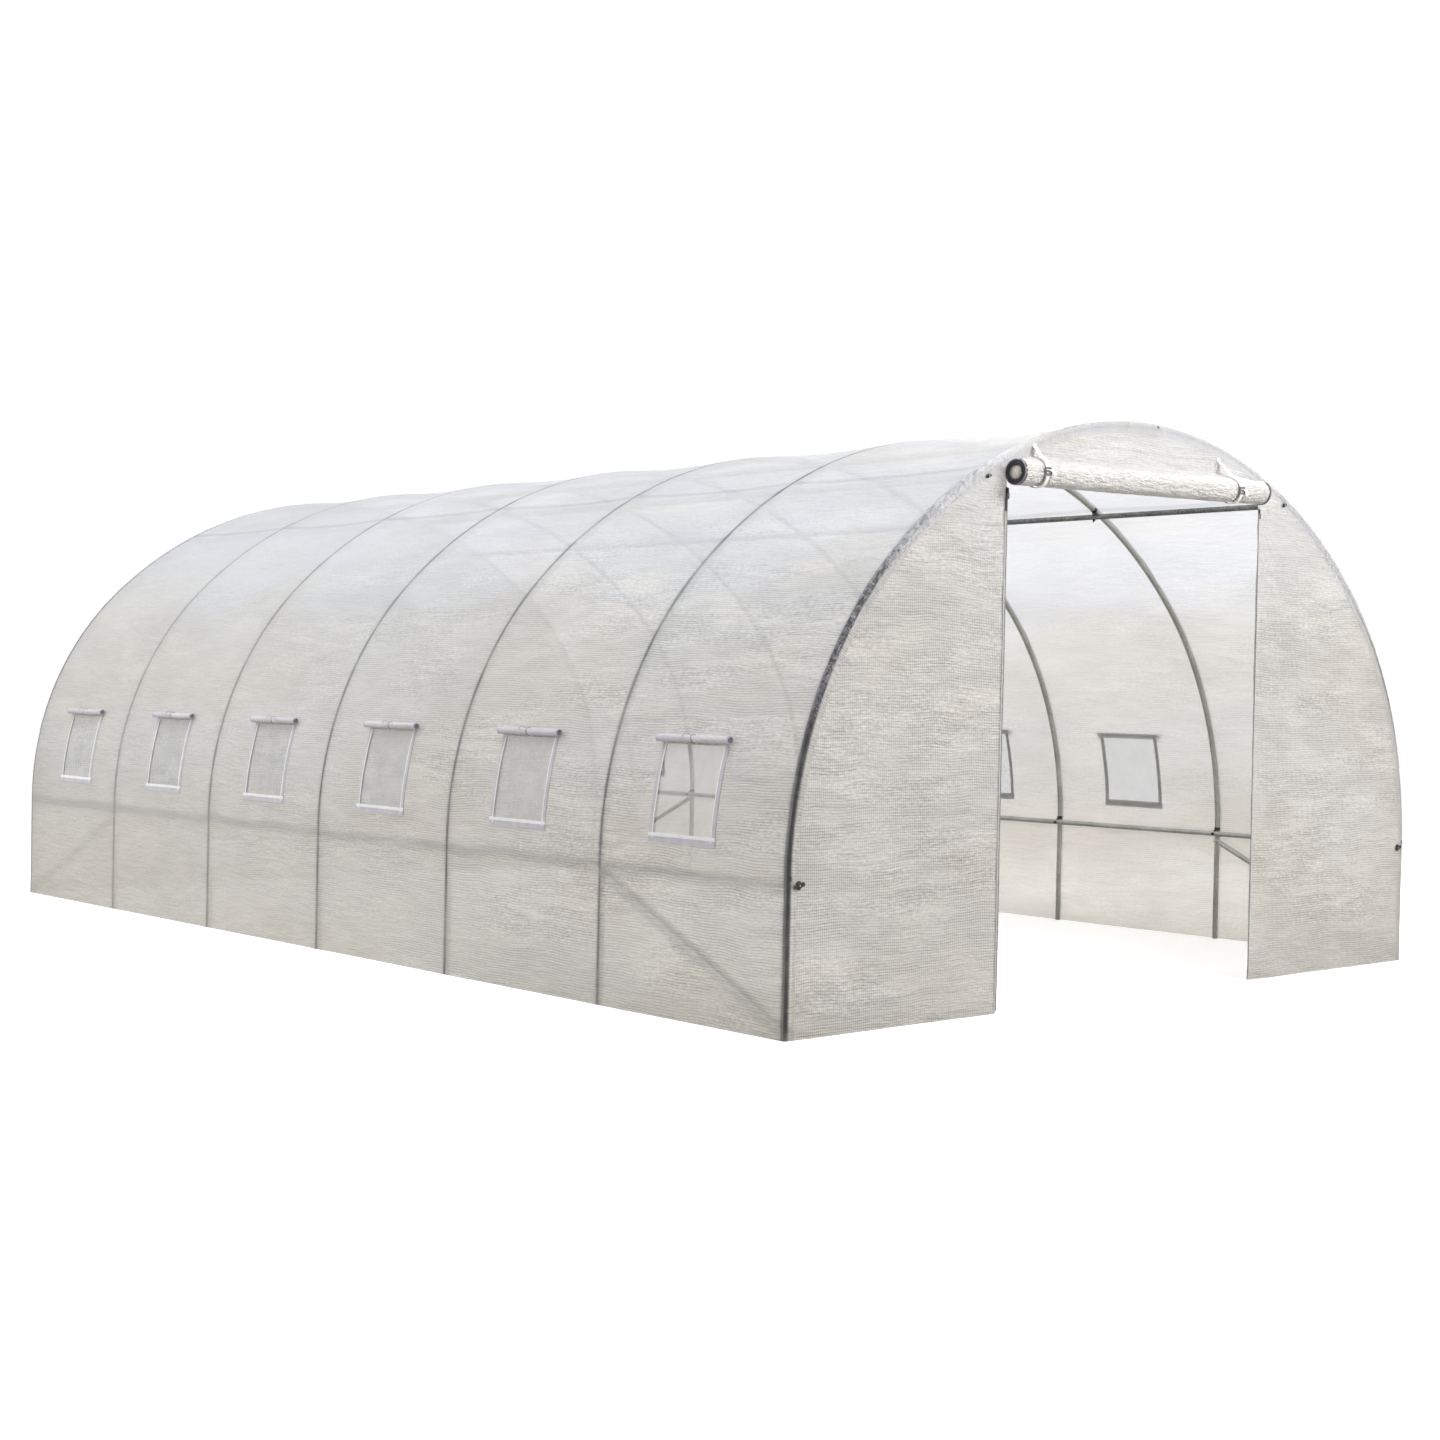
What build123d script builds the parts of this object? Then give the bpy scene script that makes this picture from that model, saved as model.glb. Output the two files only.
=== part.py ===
from build123d import *
import os
from math import sin, cos, radians, degrees, asin, atan

# Polytunnel greenhouse: seven galvanised hoops, five purlins and four corner
# braces under a reinforced film cover, with an open doorway at the front end
# and a netted window in every bay of both sides.
#
# Frame: X across the tunnel, Y along it with the doorway at -Y, Z up from the
# ground. All sizes in millimetres.

# ---------------------------------------------------------------- dimensions
WIDTH = 4000.0            # outside of the cover at the ground
HEIGHT = 2300.0           # outside of the cover at the ridge
BAYS = 6
PITCH = 1000.0            # hoop to hoop
TUBE_R = 12.5             # 25 mm tube
FILM = 2.5                # the film is drawn thicker than it is
GAP = 0.3                 # film to tube
TUBE_GAP = 0.2            # tube to tube where they are bolted

LEG = 540.0               # straight foot of the hoop
R_SHOULDER = 1589.0       # tighter arc above the foot
X_SHOULDER = WIDTH / 2 - R_SHOULDER       # centre of the shoulder arc
# degrees turned by the shoulder arc, so that the crown arc leaves it smoothly
# and reaches the ridge
A_SHOULDER = 90 - 2 * degrees(atan((HEIGHT - LEG - R_SHOULDER) / X_SHOULDER))
R_CROWN = R_SHOULDER + X_SHOULDER / cos(radians(A_SHOULDER))
Z_CROWN = HEIGHT - R_CROWN                # centre of the crown arc

LOWER_PURLIN_Z = 528.0
# degrees above the horizontal, about the crown centre; the right one sits higher
UPPER_PURLIN_LEFT = 61.5
UPPER_PURLIN_RIGHT = 63.9

DOOR_LEFT = -905.0
DOOR_RIGHT = 744.0
DOOR_TOP = 2050.0
DOOR_ROLL_R = 52.0
DOOR_ROLL_X = (-926.0, 694.0)
DOOR_ROLL_Z = (2021.0, 2071.0)           # it hangs a little askew
STRAP_W = 25.0
STRAP_T = 2.0
STRAP_X = (-775.0, 462.0)
STRAP_TOP = (2135.0, 2195.0)
ZIP_W = 12.0
ZIP_T = 2.5

WINDOW_FIRST = 542.0      # first window's middle, from the front hoop
WINDOW_PITCH = 984.0
WINDOW_W = 316.0
WINDOW_Z0 = 665.0
WINDOW_Z1 = 990.0
WINDOW_ROLL_R = 16.0
WINDOW_ROLL_L = 394.0
WINDOW_ROLL_Z = 1007.0
NET_T = 1.5
NET_LAP = 18.0            # the net is sewn on behind the opening

# ---------------------------------------------------------------- places
OVERHANG = TUBE_R + GAP + FILM            # end film, outside of the end hoops
ROLL_OUT = 0.5 + STRAP_T + 0.5 + 2 * DOOR_ROLL_R + 0.5 + STRAP_T
Y_FRONT = -BAYS * PITCH / 2 + ROLL_OUT / 2    # front hoop; the row is centred
Y_BACK = Y_FRONT + BAYS * PITCH
Y_FACE = Y_FRONT - OVERHANG               # outside of the front wall
Y_REAR = Y_BACK + OVERHANG                # outside of the back wall
IN_HOOP = FILM + GAP + TUBE_R             # cover's outside to a hoop's middle
IN_PURLIN = IN_HOOP + 2 * TUBE_R + TUBE_GAP

HOOP_Y = [Y_FRONT + i * PITCH for i in range(BAYS + 1)]
WINDOW_Y = [Y_FRONT + WINDOW_FIRST + i * WINDOW_PITCH for i in range(BAYS)]


def shoulder(inset, angle, side=1):
    """A point on the shoulder arc, inset from the cover's outside."""
    r = R_SHOULDER - inset
    return (
        side * (X_SHOULDER + r * cos(radians(angle))),
        LEG + r * sin(radians(angle)),
    )


def crown(inset, angle):
    """A point on the crown arc, inset from the cover's outside."""
    r = R_CROWN - inset
    return (r * cos(radians(angle)), Z_CROWN + r * sin(radians(angle)))


def section_line(inset):
    """The whole arch from foot to foot, inset from the cover's outside."""
    a = A_SHOULDER
    Line((-(WIDTH / 2 - inset), 0), (-(WIDTH / 2 - inset), LEG))
    ThreePointArc(
        shoulder(inset, 0, -1), shoulder(inset, a / 2, -1), shoulder(inset, a, -1)
    )
    ThreePointArc(crown(inset, 180 - a), crown(inset, 90), crown(inset, a))
    ThreePointArc(shoulder(inset, a), shoulder(inset, a / 2), shoulder(inset, 0))
    Line((WIDTH / 2 - inset, LEG), (WIDTH / 2 - inset, 0))


def across(y):
    """The upright plane across the tunnel at y: its own x is X and y is Z."""
    return Plane.XZ.offset(-y)


def save(piece, name):
    piece.part.label = name
    export_step(piece.part, "parts/%s.step" % name)


os.makedirs("parts", exist_ok=True)

# ---------------------------------------------------------------- hoops
for i, y in enumerate(HOOP_Y):
    with BuildPart() as hoop:
        with BuildLine(across(y)) as arch:
            section_line(IN_HOOP)
        with BuildSketch(Plane.XY):
            with Locations((-(WIDTH / 2 - IN_HOOP), y)):
                Circle(TUBE_R)
        sweep(path=arch.line)
    save(hoop, "hoop_%d" % (i + 1))

# ---------------------------------------------------------------- purlins
PURLIN_X = WIDTH / 2 - IN_PURLIN
purlins = {
    "ridge_purlin": crown(IN_PURLIN, 90),
    "upper_purlin_left": crown(IN_PURLIN, 180 - UPPER_PURLIN_LEFT),
    "upper_purlin_right": crown(IN_PURLIN, UPPER_PURLIN_RIGHT),
    "lower_purlin_left": (-PURLIN_X, LOWER_PURLIN_Z),
    "lower_purlin_right": (PURLIN_X, LOWER_PURLIN_Z),
}
for name, place in purlins.items():
    with BuildPart() as purlin:
        with BuildSketch(across(Y_BACK + TUBE_R)):
            with Locations(place):
                Circle(TUBE_R)
        extrude(amount=BAYS * PITCH + 2 * TUBE_R)
    save(purlin, name)

# ---------------------------------------------------------------- braces
# One in each corner bay of a side: from the end hoop's foot up to the next
# hoop, just under the lower purlin.
BRACE_LOW = 30.0
BRACE_HIGH = 498.0
for name, side in (("corner_braces_left", -1), ("corner_braces_right", 1)):
    with BuildPart() as braces:
        for end, step in ((Y_FRONT, 1), (Y_BACK, -1)):
            low = Vector(side * PURLIN_X, end + step * 6, BRACE_LOW)
            high = Vector(side * PURLIN_X, end + step * (PITCH - 6), BRACE_HIGH)
            with BuildSketch(Plane(origin=low, z_dir=high - low)):
                Circle(TUBE_R)
            extrude(amount=(high - low).length)
    save(braces, name)

# ---------------------------------------------------------------- cover
# Each bay of the cover is one crown strip and two side strips, and each side
# strip has its window cut through.
BAY_ENDS = list(HOOP_Y)
BAY_ENDS[0] = Y_FACE
BAY_ENDS[-1] = Y_REAR
for i in range(BAYS):
    y0, y1 = BAY_ENDS[i], BAY_ENDS[i + 1]
    a = A_SHOULDER
    with BuildPart() as roof:
        with BuildSketch(across(y1)):
            with BuildLine():
                ThreePointArc(crown(0, 180 - a), crown(0, 90), crown(0, a))
                Line(crown(0, a), crown(FILM, a))
                ThreePointArc(crown(FILM, a), crown(FILM, 90), crown(FILM, 180 - a))
                Line(crown(FILM, 180 - a), crown(0, 180 - a))
            make_face()
        extrude(amount=y1 - y0)
    save(roof, "roof_cover_%d" % (i + 1))
    for word, side in (("left", -1), ("right", 1)):
        with BuildPart() as wall:
            with BuildSketch(across(y1)):
                with BuildLine():
                    Line((side * WIDTH / 2, 0), shoulder(0, 0, side))
                    ThreePointArc(
                        shoulder(0, 0, side), shoulder(0, a / 2, side), shoulder(0, a, side)
                    )
                    Line(shoulder(0, a, side), shoulder(FILM, a, side))
                    ThreePointArc(
                        shoulder(FILM, a, side),
                        shoulder(FILM, a / 2, side),
                        shoulder(FILM, 0, side),
                    )
                    Line(shoulder(FILM, 0, side), (side * (WIDTH / 2 - FILM), 0))
                    Line((side * (WIDTH / 2 - FILM), 0), (side * WIDTH / 2, 0))
                make_face()
            extrude(amount=y1 - y0)
            with BuildSketch(Plane.YZ.offset(side * WIDTH / 2 - 250)):
                with Locations((WINDOW_Y[i], (WINDOW_Z0 + WINDOW_Z1) / 2)):
                    Rectangle(WINDOW_W, WINDOW_Z1 - WINDOW_Z0)
            extrude(amount=500, mode=Mode.SUBTRACT)
        save(wall, "side_cover_%s_%d" % (word, i + 1))

# ---------------------------------------------------------------- end walls
# They close the arch just inside the cover's edge. The front one is three
# pieces round the doorway: x0, x1, z0 and z1 of the part of the arch they take.
END_IN = FILM + 0.2
end_walls = {
    "back_wall": (Y_REAR, -WIDTH, WIDTH, 0, 2 * HEIGHT),
    "front_wall_left": (Y_FACE + FILM, -WIDTH, DOOR_LEFT, 0, 2 * HEIGHT),
    "front_wall_right": (Y_FACE + FILM, DOOR_RIGHT, WIDTH, 0, 2 * HEIGHT),
    "front_wall_header": (Y_FACE + FILM, DOOR_LEFT, DOOR_RIGHT, DOOR_TOP, 2 * HEIGHT),
}
for name, (y, x0, x1, z0, z1) in end_walls.items():
    with BuildPart() as wall:
        with BuildSketch(across(y)):
            with BuildLine():
                section_line(END_IN)
                Line((WIDTH / 2 - END_IN, 0), (-(WIDTH / 2 - END_IN), 0))
            make_face()
            with Locations(((x0 + x1) / 2, (z0 + z1) / 2)):
                Rectangle(x1 - x0, z1 - z0, mode=Mode.INTERSECT)
        extrude(amount=FILM)
    save(wall, name)

# ---------------------------------------------------------------- doorway
# The door curtain is rolled up on the outside over the doorway and held by
# two straps sewn to the header.
ROLL_Y = Y_FACE - 0.5 - STRAP_T - 0.5 - DOOR_ROLL_R


def roll_z(x):
    """Height of the roll's axis at x."""
    (x0, x1), (z0, z1) = DOOR_ROLL_X, DOOR_ROLL_Z
    return z0 + (z1 - z0) * (x - x0) / (x1 - x0)


ends = [Vector(x, ROLL_Y, z) for x, z in zip(DOOR_ROLL_X, DOOR_ROLL_Z)]
with BuildPart() as door_roll:
    with BuildSketch(Plane(origin=ends[0], z_dir=ends[1] - ends[0])):
        Circle(DOOR_ROLL_R)
    extrude(amount=(ends[1] - ends[0]).length)
save(door_roll, "door_roll")

with BuildPart() as door_straps:
    for x, top in zip(STRAP_X, STRAP_TOP):
        z = roll_z(x)
        with BuildSketch(Plane.YZ.offset(x - STRAP_W / 2)):
            with Locations((ROLL_Y, z)):
                Circle(DOOR_ROLL_R + 0.5 + STRAP_T)
                Circle(DOOR_ROLL_R + 0.5, mode=Mode.SUBTRACT)
            with Locations((Y_FACE - 0.5 - STRAP_T / 2, (z + top) / 2)):
                Rectangle(STRAP_T, top - z)
        extrude(amount=STRAP_W)
save(door_straps, "door_straps")

with BuildPart() as door_zips:
    for x in (DOOR_LEFT - ZIP_W / 2, DOOR_RIGHT + ZIP_W / 2):
        top = roll_z(x) - DOOR_ROLL_R - 8
        with BuildSketch(across(Y_FACE - 0.3)):
            with Locations((x, (10 + top) / 2)):
                Rectangle(ZIP_W, top - 10)
        extrude(amount=ZIP_T)
save(door_zips, "door_zips")

# ---------------------------------------------------------------- windows
# The nets are sewn on behind the openings, and each flap is rolled up on the
# outside over its opening.
NET_A0 = degrees(asin((WINDOW_Z0 - NET_LAP - LEG) / R_SHOULDER))
NET_A1 = degrees(asin((WINDOW_Z1 + NET_LAP - LEG) / R_SHOULDER))
NET_IN = FILM + 0.2
for word, side in (("left", -1), ("right", 1)):
    with BuildPart() as nets:
        for y in WINDOW_Y:
            with BuildSketch(across(y + WINDOW_W / 2 + NET_LAP)):
                with BuildLine():
                    ThreePointArc(
                        shoulder(NET_IN, NET_A0, side),
                        shoulder(NET_IN, (NET_A0 + NET_A1) / 2, side),
                        shoulder(NET_IN, NET_A1, side),
                    )
                    Line(
                        shoulder(NET_IN, NET_A1, side),
                        shoulder(NET_IN + NET_T, NET_A1, side),
                    )
                    ThreePointArc(
                        shoulder(NET_IN + NET_T, NET_A1, side),
                        shoulder(NET_IN + NET_T, (NET_A0 + NET_A1) / 2, side),
                        shoulder(NET_IN + NET_T, NET_A0, side),
                    )
                    Line(
                        shoulder(NET_IN + NET_T, NET_A0, side),
                        shoulder(NET_IN, NET_A0, side),
                    )
                make_face()
            extrude(amount=WINDOW_W + 2 * NET_LAP)
    save(nets, "window_nets_%s" % word)

    roll_angle = degrees(asin((WINDOW_ROLL_Z - LEG) / R_SHOULDER))
    with BuildPart() as rolls:
        for y in WINDOW_Y:
            with BuildSketch(across(y + WINDOW_ROLL_L / 2)):
                with Locations(shoulder(-(WINDOW_ROLL_R + 0.5), roll_angle, side)):
                    Circle(WINDOW_ROLL_R)
            extrude(amount=WINDOW_ROLL_L)
    save(rolls, "window_rolls_%s" % word)
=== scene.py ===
import bpy
import math
import numpy as np
from mathutils import Matrix, Vector


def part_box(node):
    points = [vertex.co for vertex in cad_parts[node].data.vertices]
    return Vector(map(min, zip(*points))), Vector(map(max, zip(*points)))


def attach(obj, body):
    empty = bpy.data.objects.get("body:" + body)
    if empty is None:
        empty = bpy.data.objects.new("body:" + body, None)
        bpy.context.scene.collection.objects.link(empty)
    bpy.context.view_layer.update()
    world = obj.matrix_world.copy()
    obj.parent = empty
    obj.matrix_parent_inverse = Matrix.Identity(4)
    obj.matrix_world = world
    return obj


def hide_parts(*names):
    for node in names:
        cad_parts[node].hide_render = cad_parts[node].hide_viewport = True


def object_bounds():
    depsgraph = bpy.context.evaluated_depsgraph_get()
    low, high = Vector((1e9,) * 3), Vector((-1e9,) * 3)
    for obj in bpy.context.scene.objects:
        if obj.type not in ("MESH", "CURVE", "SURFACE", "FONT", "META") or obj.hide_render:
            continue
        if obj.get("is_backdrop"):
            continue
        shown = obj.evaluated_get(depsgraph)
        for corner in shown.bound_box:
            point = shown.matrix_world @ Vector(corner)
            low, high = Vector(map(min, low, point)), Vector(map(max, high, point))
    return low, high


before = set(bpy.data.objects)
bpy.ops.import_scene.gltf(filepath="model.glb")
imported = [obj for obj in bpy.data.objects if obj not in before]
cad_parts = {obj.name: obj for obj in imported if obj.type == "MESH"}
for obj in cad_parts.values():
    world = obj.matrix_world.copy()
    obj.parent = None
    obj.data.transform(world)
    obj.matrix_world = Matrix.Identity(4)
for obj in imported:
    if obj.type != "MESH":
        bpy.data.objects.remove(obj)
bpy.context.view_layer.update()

# ------------------------------------------------------------------ sizes, m
HALF, TOP, LEG, R1 = 2.0, 2.3, 0.54, 1.589
X1 = HALF - R1
A = math.pi / 2 - 2 * math.atan((TOP - LEG - R1) / X1)
R2 = R1 + X1 / math.cos(A)
Z2 = TOP - R2
S1 = LEG
S2 = S1 + R1 * A
S3 = S2 + R2 * (math.pi - 2 * A)
S4 = S3 + R1 * A
S5 = S4 + LEG
TUBE = 0.0125
IN_HOOP = 0.0153                       # cover's outside to a hoop's middle
SKIN = 0.00125                         # the film lies in the middle of its solid
WRAP = IN_HOOP - SKIN


def middle(node):
    lo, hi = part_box(node)
    return (lo + hi) / 2


YF = middle("hoop_1").y
YB = middle("hoop_7").y
HOOPS = [middle("hoop_%d" % i).y for i in range(1, 8)]
DOOR_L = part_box("front_wall_left")[1].x
DOOR_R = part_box("front_wall_right")[0].x
DOOR_T = 2.050
ROLL_LO, ROLL_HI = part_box("door_roll")
ROLL_Y = (ROLL_LO.y + ROLL_HI.y) / 2
ROLL_R = (ROLL_HI.y - ROLL_LO.y) / 2
ROLL_RISE = (ROLL_HI.z - ROLL_LO.z) - 2 * ROLL_R      # it hangs a little askew
FACE = YF - WRAP                       # the front film
REAR = YB + WRAP
WIN_W, WIN_Z0, WIN_Z1 = 0.316, 0.665, 0.990
WIN_Y = [YF + 0.542 + 0.984 * i for i in range(6)]
WROLL_R, WROLL_L, WROLL_Z = 0.016, 0.394, 1.007


def arch(s):
    """Point and inward normal of the cover's outside, s metres from the left foot."""
    s = np.asarray(s, float)
    m = np.minimum(s, S5 - s)
    sign = np.where(s <= S5 / 2, -1.0, 1.0)
    a1 = np.clip((m - S1) / R1, 0, A)
    a2 = np.clip((m - S2) / R2, 0, None)
    leg, low = m <= S1, (m > S1) & (m <= S2)
    x = np.where(leg, HALF, np.where(low, X1 + R1 * np.cos(a1), R2 * np.cos(A + a2)))
    z = np.where(leg, m, np.where(low, LEG + R1 * np.sin(a1), Z2 + R2 * np.sin(A + a2)))
    g = np.where(leg, 0.0, np.where(low, a1, A + a2))
    return sign * x, z, -sign * np.cos(g), -np.sin(g)


def s_at(z):
    """Distance from the left foot to height z on the shoulder."""
    return S1 + R1 * math.asin((z - LEG) / R1)


def roll_z(x):
    """Height of the door roll's axis at x."""
    return (ROLL_LO.z + ROLL_HI.z) / 2 + ROLL_RISE * ((x - ROLL_LO.x) / (ROLL_HI.x - ROLL_LO.x) - 0.5)


# ------------------------------------------------------------------ noise
def lattice(i, j, seed):
    n = (i * 374761393 + j * 668265263 + seed * 974634777) & 0xFFFFFFFF
    n = ((n ^ (n >> 13)) * 1274126177) & 0xFFFFFFFF
    return ((n ^ (n >> 16)) & 0xFFFF) / 32767.5 - 1.0


def noise(u, v, seed=0):
    u, v = np.broadcast_arrays(np.asarray(u, float), np.asarray(v, float))
    i, j = np.floor(u).astype(np.int64), np.floor(v).astype(np.int64)
    a, b = u - i, v - j
    a = a * a * a * (a * (a * 6 - 15) + 10)
    b = b * b * b * (b * (b * 6 - 15) + 10)
    return (lattice(i, j, seed) * (1 - a) + lattice(i + 1, j, seed) * a) * (1 - b) + (
        lattice(i, j + 1, seed) * (1 - a) + lattice(i + 1, j + 1, seed) * a
    ) * b


def fbm(u, v, seed=0, octaves=3):
    total, amp = 0.0, 1.0
    for k in range(octaves):
        total = total + amp * noise(u * 2**k, v * 2**k, seed + 17 * k)
        amp *= 0.5
    return total / 1.75


def step(x, lo, hi):
    t = np.clip((x - lo) / (hi - lo), 0, 1)
    return t * t * (3 - 2 * t)


def spaced(breaks, size):
    out = [breaks[0]]
    for a, b in zip(breaks[:-1], breaks[1:]):
        n = max(1, int(math.ceil((b - a) / size - 1e-6)))
        out += list(np.linspace(a, b, n + 1)[1:])
    return np.array(out)


# ------------------------------------------------------------------ meshes
def put(name, me, mats):
    ob = bpy.data.objects.new(name, me)
    bpy.context.scene.collection.objects.link(ob)
    for m in mats if isinstance(mats, (list, tuple)) else [mats]:
        me.materials.append(m)
    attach(ob, "root")
    return ob


def sheet(name, P, UV, mats, keep=None, attrs=None, index=None, flip=False):
    """A grid of points as one smooth sheet, with its lengths in metres as UVs."""
    nu, nv = P.shape[:2]
    k = np.arange(nu * nv).reshape(nu, nv)
    q = np.stack([k[:-1, :-1], k[1:, :-1], k[1:, 1:], k[:-1, 1:]], -1).reshape(-1, 4)
    if flip:
        q = q[:, ::-1]
    mi = None if index is None else np.asarray(index).reshape(-1)
    if keep is not None:
        q = q[keep.reshape(-1)]
        mi = None if mi is None else mi[keep.reshape(-1)]
    used, inv = np.unique(q.ravel(), return_inverse=True)
    q = inv.reshape(-1, 4)
    me = bpy.data.meshes.new(name)
    me.from_pydata(P.reshape(-1, 3)[used].tolist(), [], q.tolist())
    uv = me.uv_layers.new(name="film")
    uv.data.foreach_set("uv", UV.reshape(-1, 2)[used][q.ravel()].astype(np.float32).ravel())
    for key, val in (attrs or {}).items():
        at = me.attributes.new(key, "FLOAT", "POINT")
        at.data.foreach_set("value", val.reshape(-1)[used].astype(np.float32))
    if mi is not None:
        me.polygons.foreach_set("material_index", mi.astype(np.int32))
    me.shade_smooth()
    me.update()
    return put(name, me, mats)


class Solids:
    """Gathers small closed shapes into one mesh."""

    def __init__(self):
        self.v, self.f, self.m, self.n = [], [], [], 0

    def add(self, verts, faces, mat=0):
        verts = np.asarray(verts, float)
        self.v.append(verts)
        self.f += [[i + self.n for i in f] for f in faces]
        self.m += [mat] * len(faces)
        self.n += len(verts)

    def lathe(self, origin, axis, profile, sides=16, mat=0, up=None):
        """profile: (distance along the axis, radius), closed at both ends."""
        origin, axis = np.asarray(origin, float), np.asarray(axis, float)
        axis = axis / np.linalg.norm(axis)
        ref = np.asarray(up if up is not None else ((0, 0, 1) if abs(axis[2]) < 0.9 else (1, 0, 0)), float)
        e1 = np.cross(axis, ref)
        e1 /= np.linalg.norm(e1)
        e2 = np.cross(axis, e1)
        t = np.arange(sides) / sides * 2 * math.pi
        ring = np.cos(t)[:, None] * e1 + np.sin(t)[:, None] * e2
        verts, faces = [], []
        for h, r in profile:
            verts.append(origin + axis * h + ring * r)
        verts = np.concatenate(verts)
        for a in range(len(profile) - 1):
            for i in range(sides):
                j = (i + 1) % sides
                faces.append([a * sides + i, a * sides + j, (a + 1) * sides + j, (a + 1) * sides + i])
        faces.append(list(range(sides))[::-1])
        faces.append([(len(profile) - 1) * sides + i for i in range(sides)])
        self.add(verts, faces, mat)

    def ribbon(self, path, across, width, thick, mat=0, taper=None):
        """A flat band along path; across is the unit direction of its width."""
        path, across = np.asarray(path, float), np.asarray(across, float)
        if across.ndim == 1:
            across = np.repeat(across[None], len(path), 0)
        t = np.gradient(path, axis=0)
        t /= np.linalg.norm(t, axis=1)[:, None]
        n = np.cross(t, across)
        n /= np.linalg.norm(n, axis=1)[:, None]
        w = np.full(len(path), width) if taper is None else width * np.asarray(taper)
        w = w[:, None]
        r = min(thick, width) * 0.3
        ring = []
        for a, b in ((0.5, 0.5), (-0.5, 0.5), (-0.5, -0.5), (0.5, -0.5)):
            sa, sb = math.copysign(1, a), math.copysign(1, b)
            for da, db in ((0, r), (r, 0)) if sa * sb > 0 else ((r, 0), (0, r)):
                ring.append(path + across * (a * w - sa * da) + n * (b * thick - sb * db))
        ring = np.stack(ring, 1)                 # (N, 8, 3)
        N, k = ring.shape[:2]
        faces = []
        for i in range(N - 1):
            for j in range(k):
                l = (j + 1) % k
                faces.append([i * k + j, i * k + l, (i + 1) * k + l, (i + 1) * k + j])
        faces.append(list(range(k))[::-1])
        faces.append([(N - 1) * k + j for j in range(k)])
        self.add(ring.reshape(-1, 3), faces, mat)

    def tube(self, path, radius, sides=8, mat=0, closed=False):
        path = np.asarray(path, float)
        t = np.gradient(path, axis=0)
        if closed:
            t = np.roll(path, -1, 0) - np.roll(path, 1, 0)
        t /= np.linalg.norm(t, axis=1)[:, None]
        ref = np.array([0.3, 0.2, 0.93])
        e1 = np.cross(t, ref)
        e1 /= np.linalg.norm(e1, axis=1)[:, None]
        e2 = np.cross(t, e1)
        r = np.broadcast_to(np.asarray(radius, float), (len(path),))[:, None]
        verts = [path + r * (math.cos(a) * e1 + math.sin(a) * e2) for a in np.arange(sides) / sides * 2 * math.pi]
        verts = np.stack(verts, 1)
        N = len(path)
        faces = []
        for i in range(N if closed else N - 1):
            i2 = (i + 1) % N
            for j in range(sides):
                l = (j + 1) % sides
                faces.append([i * sides + j, i * sides + l, i2 * sides + l, i2 * sides + j])
        if not closed:
            faces.append(list(range(sides))[::-1])
            faces.append([(N - 1) * sides + j for j in range(sides)])
        self.add(verts.reshape(-1, 3), faces, mat)

    def make(self, name, mats, slot=None, smooth=True):
        me = bpy.data.meshes.new(name)
        me.from_pydata(np.concatenate(self.v).tolist(), [], self.f)
        me.polygons.foreach_set("material_index", np.array(self.m, np.int32))
        if smooth:
            me.shade_smooth()
            me.set_sharp_from_angle(angle=math.radians(40))
        me.update()
        import bmesh

        bm = bmesh.new()
        bm.from_mesh(me)
        bmesh.ops.recalc_face_normals(bm, faces=bm.faces)
        bm.to_mesh(me)
        bm.free()
        return put(name, me, mats)


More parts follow.
